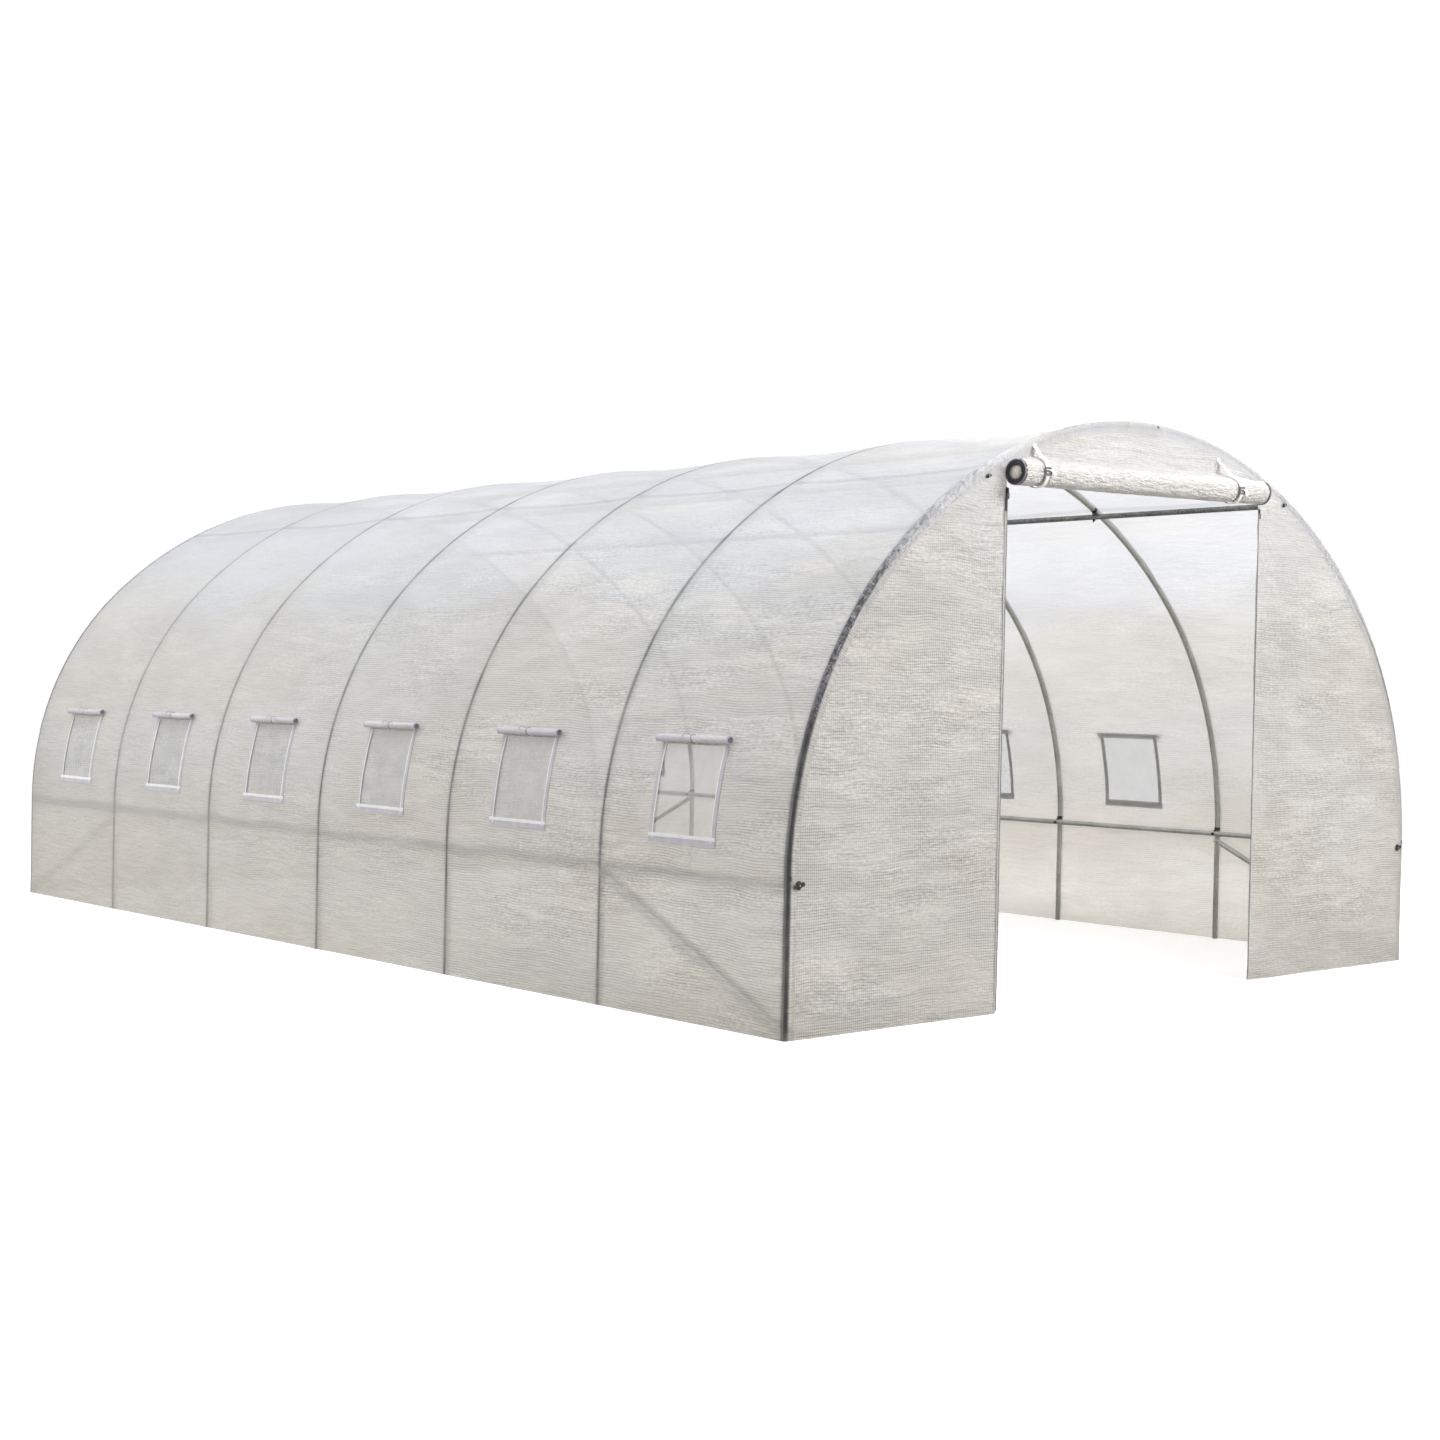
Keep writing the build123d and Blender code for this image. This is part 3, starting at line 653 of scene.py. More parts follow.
def sag(s, y):
    """How far the cover hangs in between the hoops, in metres."""
    m = np.minimum(s, S5 - s)
    bay = np.clip((y - YF) / 1.0, 0, 6)
    t = bay - np.floor(np.minimum(bay, 5.9999))
    depth = 0.003 + 0.004 * step(m, 0.3, 1.3) + 0.006 * step(m, 1.5, 2.9)
    hang = 4 * t * (1 - t)
    w = fbm(s * 2.3, y * 1.1, 3) * 0.0032 + fbm(s * 9.0, y * 1.9, 5) * 0.0016
    w = w + 0.0012 * fbm(s * 26.0, y * 3.2, 9, 2) * step(fbm(s * 1.4, y * 0.9, 11), -0.1, 0.5)
    # folds that fan out from the hoops where the film is pulled tight
    fan = np.exp(-((np.minimum(t, 1 - t)) / 0.16) ** 2) * np.sin(s * 46 + 5 * noise(s * 3, np.floor(bay) + 0.5, 21)) * 0.0011 * step(noise(s * 1.7, np.round(bay) * 3.1, 23), 0.0, 0.6)
    near = np.clip(np.minimum(t, 1 - t) / 0.10, 0, 1)
    d = depth * hang * (1 + 0.25 * noise(s * 1.1, np.floor(bay) * 7.7 + 0.5, 31)) + (w + fan) * near * near * (3 - 2 * near)
    # flat where the windows are sewn in
    win = np.zeros_like(d)
    for wy in WIN_Y:
        win = np.maximum(win, step(WIN_W / 2 + 0.10 - np.abs(y - wy), 0.0, 0.08))
    win = win * step(m, W_S0 - 0.10, W_S0 - 0.02) * (1 - step(m, W_S1 + 0.03, W_S1 + 0.12))
    inside = (y > YF) & (y < YB)
    return np.where(inside, np.maximum(d * (1 - win) + 0.0015 * win * 0, -0.0006), 0.0)


SS, YY = np.meshgrid(rows, cy, indexing="ij")
II = np.broadcast_to(ci, SS.shape)
hoop_v = float(np.interp(YF, cy[8:], along[8:]))
COVER = film_material("cover_film", cell=0.13, thread=0.03, through=0.46, low_mottle=0.28, warmth=0.62, warp_seen=0.45, hoops=hoop_v)
D = sag(SS, YY)
ax, az, anx, anz = arch(SS)
P = np.stack([ax + anx * (II + D), YY, az + anz * (II + D)], -1)
UV = np.stack([SS, np.broadcast_to(along, SS.shape)], -1)
mid_s = (rows[1:] + rows[:-1]) / 2
mid_y = (cy[1:] + cy[:-1]) / 2
hole_s = ((mid_s > W_S0) & (mid_s < W_S1)) | ((mid_s > S5 - W_S1) & (mid_s < S5 - W_S0))
hole_y = np.zeros(len(mid_y), bool)
for wy in WIN_Y:
    hole_y |= np.abs(mid_y - wy) < WIN_W / 2
keep = ~(hole_s[:, None] & hole_y[None, :])
m_s = np.minimum(SS, S5 - SS)
front = 1 - step(YY, YF + 0.002, YF + 0.012)
lipped = step(II, IN_HOOP - 0.002, IN_HOOP + 0.004) * (YY < 0)
CLEAR = lipped * 0.12 * (1 - step(m_s, 1.2, 1.9))
# painted shade for the 'dark' attribute: where the cover turns round the front hoop low down, deep on the left and
# faint on the right, and faint at the back hoop
on_left = SS < S5 / 2
SHADE = front * (1 - lipped) * (1 - step(m_s, 1.15, 1.75)) * np.where(on_left, 0.97, 0.30) * step(II, SKIN + 0.0002, SKIN + 0.0022)
back = step(YY, YB - 0.012, YB - 0.002) * (1 - step(II, IN_HOOP - 0.002, IN_HOOP + 0.004))
SHADE = np.maximum(SHADE, back * 0.35 * (1 - step(m_s, 1.15, 1.75)))
cover = sheet("cover_sheet", P, UV, COVER, keep=keep, attrs={"clear": CLEAR, "dark": SHADE}, flip=False)
skins = [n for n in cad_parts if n.startswith("roof_cover") or n.startswith("side_cover")]
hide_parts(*skins)

# ------------------------------------------------------------------ front wall
# One sheet from the arch in to the doorway's edge.
edge_in = 0.030
corner_l = S5 * 0
s_grid = np.linspace(0, S5, 4001)
gx, gz, _, _ = arch(s_grid)
corner_l = s_grid[np.argmin(np.hypot(gx - DOOR_L, gz - DOOR_T))]
corner_r = s_grid[np.argmin(np.hypot(gx - DOOR_R, gz - DOOR_T))]
f_rows = spaced([0, corner_l, corner_r, S5], 0.030)
q = np.empty((len(f_rows), 2))
for k, s in enumerate(f_rows):
    if s <= corner_l:
        q[k] = (DOOR_L, DOOR_T * (s / corner_l))
    elif s <= corner_r:
        q[k] = (DOOR_L + (DOOR_R - DOOR_L) * (s - corner_l) / (corner_r - corner_l), DOOR_T)
    else:
        q[k] = (DOOR_R, DOOR_T * (S5 - s) / (S5 - corner_r))
fx, fz, fnx, fnz = arch(f_rows)
rim = np.stack([fx + fnx * edge_in, fz + fnz * edge_in], -1)
ts = np.concatenate([[0, 0.012, 0.03], np.linspace(0.06, 1, 36)])
GX = rim[:, None, 0] * (1 - ts) + q[:, None, 0] * ts
GZ = rim[:, None, 1] * (1 - ts) + q[:, None, 1] * ts
GX[:, 0] = rim[:, 0]


def end_relief(x, z, seed, door=True):
    """How far an end film stands out of its plane, outwards, in metres."""
    w = fbm(x * 2.1, z * 2.6, seed) * 0.0045 + fbm(x * 3.2, z * 13.0, seed + 5) * 0.0024
    w = w + fbm(x * 9.0, z * 40.0, seed + 9, 2) * 0.0010
    if door:
        # pulled folds that run from the doorway's upper corners to the hoop
        for cx, sg in ((DOOR_L, -1), (DOOR_R, 1)):
            r = np.hypot(x - cx, z - 1.98)
            ang = np.arctan2(z - 1.98, sg * (x - cx))
            w = w + 0.0034 * np.sin(ang * 26 + 2 * noise(r * 6, ang * 2, seed + 3)) * np.exp(-((r - 0.05) / 0.20) ** 2) * step(r, 0.0, 0.05)
        head = step(z, DOOR_T - 0.02, DOOR_T + 0.03) * (np.abs(x) < 0.95)
        w = w + head * (0.0030 * np.sin(z * 150 + 3 * noise(x * 2.2, z * 8, seed + 4)) * (0.4 + 0.6 * noise(x * 1.3, z * 3, seed + 8) ** 2))
    return w


sx, sz, _, _ = arch(np.linspace(0, S5, 1200))


def rim_gap(x, z):
    """Distance to the arch."""
    out = np.full(x.shape, 9.0)
    pts = np.stack([sx, sz], -1)
    flat = np.stack([x.ravel(), z.ravel()], -1)
    for k in range(0, len(flat), 4000):
        c = flat[k : k + 4000]
        out.ravel()[k : k + 4000] = np.sqrt(((c[:, None] - pts[None]) ** 2).sum(-1)).min(1)
    return out


gap = rim_gap(GX, GZ)
tight = step(gap, 0.035, 0.12)
bulge = end_relief(GX, GZ, 41) * tight
bulge = np.clip(bulge, -0.008, 0.012)
P = np.stack([GX, np.full_like(GX, FACE + 0.0012) - bulge, GZ], -1)
UV = np.stack([GZ, GX], -1)
CLEAR = (1 - step(gap, 0.028, 0.036)) * (0.30 - 0.2 * step(GZ, 1.2, 1.8))
front_sheet = sheet("front_wall_sheet", P, UV, END, attrs={"clear": CLEAR}, flip=True)
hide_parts("front_wall_left", "front_wall_right", "front_wall_header")

# ------------------------------------------------------------------ back wall
b_s = spaced([LEG, S2, S5 / 2, S3, S5 - LEG], 0.034)
bx, bz, bnx, bnz = arch(b_s)
bx, bz = bx + bnx * edge_in, bz + bnz * edge_in
bt = np.linspace(0, 1, 64)
GX = np.repeat(bx[:, None], len(bt), 1)
GZ = bz[:, None] * bt[None, :]
gap = rim_gap(GX, GZ)
bulge = np.clip(end_relief(GX, GZ, 141, door=False) * step(gap, 0.035, 0.12), -0.008, 0.012)
P = np.stack([GX, np.full_like(GX, REAR - 0.0012) + bulge, GZ], -1)
back_sheet = sheet("back_wall_sheet", P, np.stack([GZ, GX], -1), END, attrs={"clear": (1 - step(gap, 0.026, 0.040)) * 0.4})
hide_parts("back_wall")

# ------------------------------------------------------------------ crinkled edge
# The cover's spare width is drawn round the end hoops and gathered there.
for which, y_end, sign in (("front", YF, -1), ("back", YB, 1)):
    e_rows = np.arange(0.90, S5 - 0.90, 0.0062)
    # across the band: along the side, round the tube, on to the end wall
    cross = [("side", k) for k in (1.0, 0.66, 0.33, 0.0)]
    cross += [("turn", a) for a in np.linspace(0, math.pi / 2, 9)[1:-1]]
    cross += [("face", k) for k in (0.0, 0.14, 0.28, 0.42, 0.57, 0.71, 0.86, 1.0)]
    m = np.minimum(e_rows, S5 - e_rows)
    wide = (0.04 + 0.96 * step(m, 1.40, 2.10)) * (1 - 0.62 * step(m, 2.25, 2.75))
    amp = (0.22 + 0.78 * step(m, 1.15, 1.80)) * (1 - 0.90 * step(m, 2.2, 2.9))
    ax, az, anx, anz = arch(e_rows)
    P = np.zeros((len(e_rows), len(cross), 3))
    w = np.zeros(len(cross))
    last = None
    for j, (part, k) in enumerate(cross):
        if part == "side":
            out_y, inset, ny, ni = -(0.001 + 0.007 * k * wide), 0 * m - 0.0003, 0.0, 1.0
        elif part == "turn":
            out_y, inset, ny, ni = 0.0163 * math.sin(k) + 0 * m, IN_HOOP - 0.0163 * math.cos(k) + 0 * m, math.sin(k), math.cos(k)
        else:
            rag = 0.0045 * noise(e_rows * 31, 0.5 + 0 * m, 67) * (k > 0.9) * amp
            out_y, inset, ny, ni = 0.0164 + 0 * m, 0.0150 + 0.023 * k * wide + rag, 1.0, 0.0
        ends = math.sin(math.pi * min(max(j / (len(cross) - 1), 0), 1)) ** 0.5
        rough = 0.0011 * np.abs(noise(e_rows * 95, 0.5 + j * 0.75, 61)) + 0.0024 * np.abs(noise(e_rows * 36, 0.5 + j * 0.42, 63)) + 0.0009 * noise(e_rows * 170, 0.5 + j * 1.1, 65)
        lift = (0.0004 + np.clip(rough, -0.0004, 0.0045)) * (0.10 + 0.90 * amp) * ends
        inset = inset - ni * lift
        P[:, j, 0] = ax + anx * inset
        P[:, j, 1] = y_end + sign * (out_y + ny * lift) + 0 * m
        P[:, j, 2] = az + anz * inset
        here = (float(np.mean(out_y)), float(np.mean(inset)))
        w[j] = 0 if last is None else w[j - 1] + math.hypot(here[0] - last[0], here[1] - last[1])
        last = here
    ES = np.repeat(e_rows[:, None], len(cross), 1)
    UV = np.stack([ES, np.broadcast_to(w, ES.shape)], -1)
    zz = np.repeat(az[:, None], len(cross), 1)
    # painted shade for the 'dark' attribute: dark low on the front's left, faint on its right and at the back, deepest
    # in the turn round the tube, with flecks
    tone = np.where(ES < S5 / 2, 1.0 - step(zz, 1.35, 2.12), 0.25 - 0.25 * step(zz, 1.2, 2.1))
    if which == "back":
        tone = 0.35 - 0.25 * step(zz, 1.2, 2.1)
    core = np.array([-0.35 if part == "side" else (0.08 if part == "turn" else -0.28 - 0.62 * k) for part, k in cross])
    flecked = 0.34 * noise(ES * 58, np.arange(len(cross))[None, :] * 0.55 + 0.5, 69)
    tone = np.clip(tone + (core + flecked) * np.where(tone > 0.02, 1, 0), 0, 1)
    far_up = np.repeat(m[:, None], len(cross), 1)
    see = np.maximum(0.75 * (1 - step(far_up, 0.92, 1.35)), 0.80 * step(far_up, 2.35, 3.0))
    see = np.where(ES > S5 / 2, np.maximum(see, 0.45 * step(far_up, 1.2, 1.8)), see)
    outer_part = np.array([0.55 if part == "side" else (0.0 if part == "turn" else 0.75 * k) for part, k in cross])
    see = np.maximum(see, outer_part[None, :] * (1 - step(far_up, 1.75, 2.15)) * np.ones_like(ES))
    wrap = sheet("edge_wrap_" + which, P, UV, EDGE, attrs={"clear": see, "dark": tone}, flip=(sign < 0))

# ------------------------------------------------------------------ door roll
def spiral(r_in, r_out, turns, per_turn, seed, squash=0.0):
    n = int(turns * per_turn)
    t = np.linspace(0, turns * 2 * math.pi, n + 1)
    r = np.linspace(r_in, r_out, n + 1)
    return t, r


turns = 10.0
pitch_r = (ROLL_R - 0.0014 - 0.012) / turns
t = [0.0]
while t[-1] < turns * 2 * math.pi:
    rad = 0.012 + pitch_r * t[-1] / (2 * math.pi)
    t.append(t[-1] + (0.0052 if rad > ROLL_R - 0.0085 else 0.0125) / rad)
t = np.array(t)
r = 0.012 + (ROLL_R - 0.0014 - 0.012) * t / t[-1]
t = t - t[-1] + math.pi * 0.5                   # the curtain leaves the roll at its top
x_cols = np.linspace(ROLL_LO.x + 0.003, ROLL_HI.x - 0.020, 210)
arc_t = t[::-1]                                  # from the outside in
arc_r = r[::-1]
leave = math.radians(112)                       # where it comes down on to the roll
ang = leave + (arc_t[0] - arc_t)
TT, XX = np.meshgrid(ang, x_cols, indexing="ij")
RR = np.broadcast_to(arc_r[:, None], TT.shape)
outer = step(RR, ROLL_R - 0.0085, ROLL_R - 0.003)
ca, sa = np.cos(TT), np.sin(TT)
relief = 0.0016 * fbm(XX * 6 + ca, 2.2 * sa + 7, 71) + 0.0013 * fbm(XX * 21 + 3 * ca, 6.0 * sa, 73, 2)
relief = relief + 0.0012 * fbm(XX * 9 + 2 * ca, TT * 8.5, 75, 2) * step(noise(XX * 2.4, sa * 1.8 + ca, 77), -0.5, 0.4)
relief = relief + 0.0007 * noise(XX * 70, TT * 9.0, 76)
pinch = sum(np.exp(-((XX - sx0) / 0.022) ** 2) for sx0 in (-0.802, 0.456))
RAD = np.clip(RR + relief * (0.20 + 0.80 * outer) - 0.0028 * pinch * outer, 0.008, ROLL_R + 0.0008)
P = np.stack([XX + 0.0016 * noise(TT * 0.7, XX * 0, 79) * (np.abs(XX - XX.mean()) > 0.75), ROLL_Y + RAD * np.cos(TT), roll_z(XX) + RAD * np.sin(TT)], -1)
# the curtain's head: from the header's seam down on to the roll
n_lead = 14
k = np.linspace(0, 1, n_lead, endpoint=False)[:, None]
start_y = FACE - 0.0014
inward = step(x_cols, ROLL_LO.x + 0.01, ROLL_LO.x + 0.16) * (1 - step(x_cols, ROLL_HI.x - 0.14, ROLL_HI.x - 0.02))
start_z = roll_z(x_cols) + ROLL_R * 0.93 - 0.010 + 0.036 * inward
LY = start_y + (P[0, :, 1] - start_y) * k
LZ = start_z + (P[0, :, 2] - start_z) * k
LY = LY - 0.0035 * np.sin(k * math.pi) * (0.6 + fbm(x_cols * 5, k * 1.5, 81)) - 0.0012 * fbm(x_cols * 17, k * 4, 83) * np.sin(k * math.pi)
LZ = LZ - 0.0040 * np.sin(k * math.pi) * (0.5 + fbm(x_cols * 4, k * 1.5 + 9, 85))
lead = np.stack([np.broadcast_to(np.clip(x_cols, DOOR_L + 0.004, None), LY.shape) * (1 - k) + x_cols * k, LY, LZ], -1)
P = np.concatenate([lead, P])
flat_run = np.concatenate([[0], np.cumsum(np.hypot(*np.diff(P[:, len(x_cols) // 2, 1:], axis=0).T))])
UV = np.stack([np.broadcast_to(flat_run[:, None], P.shape[:2]), np.broadcast_to(x_cols, P.shape[:2])], -1)
roll = sheet("door_curtain_roll", P, UV, ROLLED, flip=True)
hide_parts("door_roll")

# the zip tape on the curtain's two edges, wound up with it
tape = Solids()
for end, sg in ((ROLL_LO.x, 1), (ROLL_HI.x - 0.017, -1)):
    last = 5.2 if sg > 0 else 2.2
    tt = np.linspace(t[-1] - last * 2 * math.pi, t[-1], int(last * 40))
    rr = np.interp(tt, t, r)
    wound = leave + (t[-1] - tt)
    zc = roll_z(end)
    for w0, w1, th, m, keep_t in ((0.0, 0.014, 0.0030, 0, 1.0), (0.0005, 0.006, 0.0037, 1, 0.62), (-0.0002, 0.007, 0.0040, 3, 0.0)):
        if m == 3:                       # painted highlight: the outermost turn's tape is greyer, standing for light on the roll's outer edge
            pick = tt > t[-1] - 2 * math.pi * 1.02
        else:
            pick = tt < t[-1] - 2 * math.pi * 0.98 if m == 1 else tt > -1e9
        if pick.sum() < 4:
            continue
        a_, b_ = wound[pick], rr[pick]
        path = np.stack([np.full_like(a_, end + sg * (w0 + w1) / 2), ROLL_Y + (b_ - 0.0006) * np.cos(a_), zc + (b_ - 0.0006) * np.sin(a_)], -1)
        tape.ribbon(path, (1.0, 0, 0), w1 - w0, th, m)
    # the curtain's hemmed foot makes the core
    rings = [(0.000, 0.003), (0.0015, 0.012), (0.003, 0.020), (0.0045, 0.0245), (0.012, 0.0250), (0.030, 0.0200)]
    tape.lathe((end + sg * 0.003, ROLL_Y, zc), (sg, 0, 0), rings, 28, 2)
zips_on_roll = tape.make("door_roll_zip_edges", [ZIP, BLACK, CORE, DARK], "zip_tape")

# ------------------------------------------------------------------ door straps
straps = Solids()
for sx0, top, lean, low in ((-0.752, 2.145, -0.050, 0), (0.440, 2.200, 0.016, 9)):
    R = ROLL_R + 0.0017
    bx = sx0 + lean                              # where it goes round the roll
    zc = roll_z(bx)

    def round_roll(x, r_, deg):
        g = math.radians(deg)
        return np.array([x, ROLL_Y - r_ * math.sin(g), zc + r_ * math.cos(g)])

    # sewn tab on the header
    tab = [(sx0 - 0.003 * k, FACE - 0.0025, top - 0.050 * k) for k in np.linspace(0, 1, 5)]
    straps.ribbon(tab, (1.0, 0, 0), 0.024, 0.0018)
    for k in (0.10, 0.22, 0.80):
        straps.ribbon([(sx0 - 0.011, FACE - 0.0037, top - 0.050 * k), (sx0, FACE - 0.0038, top - 0.050 * k), (sx0 + 0.011, FACE - 0.0037, top - 0.050 * k)], (0, 0, 1.0), 0.0018, 0.0008, 2)
    # down to the roll, over its front and round below it, to the back
    p0 = np.array([sx0, FACE - 0.0042, top - 0.012])
    p1 = round_roll(bx - lean * 0.35, R, 30)
    path = [p0 * (1 - k) + p1 * k + np.array([0, 0, -0.003 * math.sin(k * math.pi)]) for k in np.linspace(0, 1, 8)]
    for a in np.linspace(30, 250, 44)[1:]:
        path.append(round_roll(bx - lean * 0.35 * max(0, 1 - (a - 30) / 45), R, a))
    straps.ribbon(path, (1.0, 0, 0), 0.0235, 0.0018)
    # the buckle: a ladder-lock on the roll's front
    for a, w, h, th in ((72 + low, 0.033, 0.006, 0.0050), (84 + low, 0.030, 0.005, 0.0040), (97 + low, 0.033, 0.007, 0.0050)):
        c = round_roll(bx, R + 0.0030, a)
        g = math.radians(a)
        tdir = np.array([0, -math.cos(g), -math.sin(g)])
        straps.ribbon([c - tdir * h / 2, c, c + tdir * h / 2], (1.0, 0, 0), w, th, 1)
    for dx in (-0.0155, 0.0155):
        straps.ribbon([round_roll(bx + dx, R + 0.0036, a + low) for a in np.linspace(69, 100, 8)], (1.0, 0, 0), 0.0045, 0.0050, 1)
    # the tail, folded back square, and its loose end below
    tail = [round_roll(bx + 0.012 + 0.020 * k, R + 0.0058 + 0.008 * math.sin(k * math.pi * 0.9), 78 + low + 30 * k) for k in np.linspace(0, 1, 10)]
    straps.ribbon(tail, (0.97, 0, 0.24), 0.019, 0.0016)
    loose = [round_roll(bx - 0.002 - 0.006 * k, R + 0.0040 + 0.006 * k, 104 + 44 * k) for k in np.linspace(0, 1, 9)]
    straps.ribbon(loose, (1.0, 0, 0.05), 0.017, 0.0015)
strap_ob = straps.make("door_straps_sewn", [WEB, GREY, ZIPGREY], "strap_webbing")
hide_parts("door_straps")

# ------------------------------------------------------------------ door zips
zips = Solids()
zy = FACE - 0.0022
for xe, sg in ((DOOR_L, -1), (DOOR_R, 1)):
    z_top = roll_z(xe) - ROLL_R - 0.006
    zz = np.linspace(0.012, z_top, 120)
    wav = 0.0016 * noise(zz * 3.0, 0.5 + 0 * zz, 91 + sg) + 0.0007 * noise(zz * 11.0, 0.5 + 0 * zz, 93 + sg)
    line = np.stack([xe + sg * 0.0048 + wav, np.full_like(zz, zy), zz], -1)
    zips.ribbon(line, (1.0, 0, 0), 0.0085, 0.0012, 1)
    coil = line.copy()
    coil[:, 0] = xe + sg * 0.0012 + wav
    coil[:, 1] = zy - 0.0008
    zips.tube(coil, 0.0021, 6, 3)
    for z in np.arange(0.014, z_top, 0.0046):
        w = float(np.interp(z, zz, wav))
        c = np.array([xe + w - sg * 0.0006, zy - 0.0010, z])
        zips.lathe(c - np.array([0.0022, 0, 0]), (1, 0, 0.22), [(0, 0.0008), (0.0006, 0.0013), (0.0036, 0.0013), (0.0042, 0.0008)], 5, 3)
    # the zip is doubled and dark near its head on the left, and has its slider there
    if sg < 0:
        zh = np.linspace(z_top - 0.085, z_top + 0.004, 22)
        head = np.stack([np.full_like(zh, xe - 0.006) + 0.001 * noise(zh * 30, 0.5 + 0 * zh, 95), np.full_like(zh, zy - 0.0015), zh], -1)
        zips.ribbon(head, (1.0, 0, 0), 0.013, 0.0030, 2, taper=0.8 + 0.2 * np.sin(np.linspace(0.3, 2.8, 22)))
    c = np.array([xe + sg * 0.001, zy - 0.003, z_top - 0.012 if sg > 0 else z_top - 0.006])
    zips.ribbon([c + (0, 0, 0.008), c, c - (0, 0, 0.009)], (1.0, 0, 0), 0.011, 0.0045, 0, taper=[0.75, 1.0, 0.7])
    pull = [c + (0, -0.003, -0.004 - 0.030 * k) + np.array([0.002 * math.sin(k * 3), -0.001 * k, 0]) for k in np.linspace(0, 1, 6)]
    zips.ribbon(pull, (1.0, 0, 0), 0.007, 0.0016, 0, taper=[0.6, 0.75, 0.9, 1, 1, 0.8])
zip_ob = zips.make("door_zips_sewn", [BLACK, ZIPGREY, ZIP, COIL], "zip_tape")
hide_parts("door_zips")

# ------------------------------------------------------------------ windows
for word, side in (("left", -1), ("right", 1)):
    def on_side(s, inset):
        """Point on that side's film, s from its own foot."""
        x, z, nx, nz = arch(np.asarray(s, float))
        x, nx = (x, nx) if side < 0 else (-x, -nx)
        return np.stack([x + nx * inset, z + nz * inset], -1), np.stack([-nx, -nz], -1)

    nets_P, hems = [], Solids()
    lap = 0.016
    net_obs = []
    for w, wy in enumerate(WIN_Y):
        # net, a little slack
        ns = np.linspace(W_S0 - lap, W_S1 + lap, 16)
        ny = np.linspace(wy - WIN_W / 2 - lap, wy + WIN_W / 2 + lap, 16)
        NS, NY = np.meshgrid(ns, ny, indexing="ij")
        a = (NS - ns[0]) / (ns[-1] - ns[0])
        b = (NY - ny[0]) / (ny[-1] - ny[0])
        slack = 0.0022 + 0.0035 * np.sin(a * math.pi) * np.sin(b * math.pi) * (1 + 0.5 * noise(a * 3, b * 3 + w, 101))
        pt, out = on_side(NS, 0.0)
        inset = 0.0030 + slack
        P = np.stack([pt[..., 0] - out[..., 0] * inset, NY, pt[..., 1] - out[..., 1] * inset], -1)
        nob = sheet("window_net_%s_%d" % (word, w + 1), P, np.stack([NS, NY], -1), NET, flip=(side > 0))
        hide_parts("window_nets_" + word)
        net_obs.append(nob)
        # hems: a lavender tape round the opening with a white bead on its inner edge
        y0, y1 = wy - WIN_W / 2, wy + WIN_W / 2
        sv = np.linspace(W_S0 - 0.020, W_S1 + 0.012, 26)
        for ye, sg in ((y0, -1), (y1, 1)):
            pt, out = on_side(sv, -0.0005)
            wob = 0.0012 * noise(sv * 9, 0.5 + w + sg, 103)
            line = np.stack([pt[:, 0], ye + sg * 0.011 + wob, pt[:, 1]], -1)
            hems.ribbon(line, (0, 1.0, 0), 0.020, 0.0013, 0)
            line2 = line.copy()
            line2[:, 1] = ye + sg * 0.0022 + wob
            line2[:, 0] += side * 0.0008
            hems.ribbon(line2, (0, 1.0, 0), 0.0065, 0.0018, 1)
        yv = np.linspace(y0 - 0.024, y1 + 0.024, 20)
        for sc, width, th, m, lift in ((W_S0 - 0.020, 0.024, 0.0016, 0, 0.0006), (W_S0 - 0.0055, 0.013, 0.0024, 1, 0.0012)):
            pt, out = on_side(np.full_like(yv, sc) + 0.0010 * noise(yv * 9, 0.5 + w, 105), -lift)
            tangent = np.stack([out[:, 1], np.zeros(len(yv)), -out[:, 0]], -1)
            hems.ribbon(np.stack([pt[:, 0], yv, pt[:, 1]], -1), tangent, width, th, m)
        # a tape above, that the flap hangs from
        pt, out = on_side(np.full_like(yv, W_S1 + 0.020), -0.0008)
        tangent = np.stack([out[:, 1], np.zeros(len(yv)), -out[:, 0]], -1)
        hems.ribbon(np.stack([pt[:, 0], yv, pt[:, 1]], -1), tangent, 0.016, 0.0014, 0)

        # the flap, rolled up on its tape
        pc, oc = on_side(np.array([s_at(WROLL_Z)]), -(WROLL_R + 0.0006))
        cx, cz = pc[0]
        turns_w = 5.0
        tt, rr = spiral(0.0042, WROLL_R - 0.0004, turns_w, 20, 0)
        tt = (tt - tt[-1]) + math.radians(55)
        xs = np.linspace(wy - WROLL_L / 2 + 0.001, wy + WROLL_L / 2 - 0.001, 34)
        TT, YY2 = np.meshgrid(tt, xs, indexing="ij")
        rel = 0.0008 * fbm(YY2 * 16 + w * 3, np.mod(TT, 2 * math.pi) * 1.6, 111 + w)
        nip = np.exp(-((YY2 - wy) / 0.012) ** 2)
        RR2 = rr[:, None] + rel - 0.0016 * nip * step(rr[:, None], 0.010, 0.015)
        droop = 0.0016 * np.cos((YY2 - wy) / WROLL_L * math.pi)
        P = np.stack([cx - side * RR2 * np.cos(TT) * -1, YY2, cz + RR2 * np.sin(TT) - droop * 0.5], -1)
        al = np.concatenate([[0], np.cumsum(np.hypot(np.diff(rr), rr[1:] * np.diff(tt)))])
        fob = sheet("window_flap_%s_%d" % (word, w + 1), P, np.stack([np.broadcast_to(al[:, None], TT.shape), YY2], -1), FLAP, attrs={"clear": np.zeros_like(TT)}, flip=(side < 0))
        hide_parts("window_rolls_" + word)
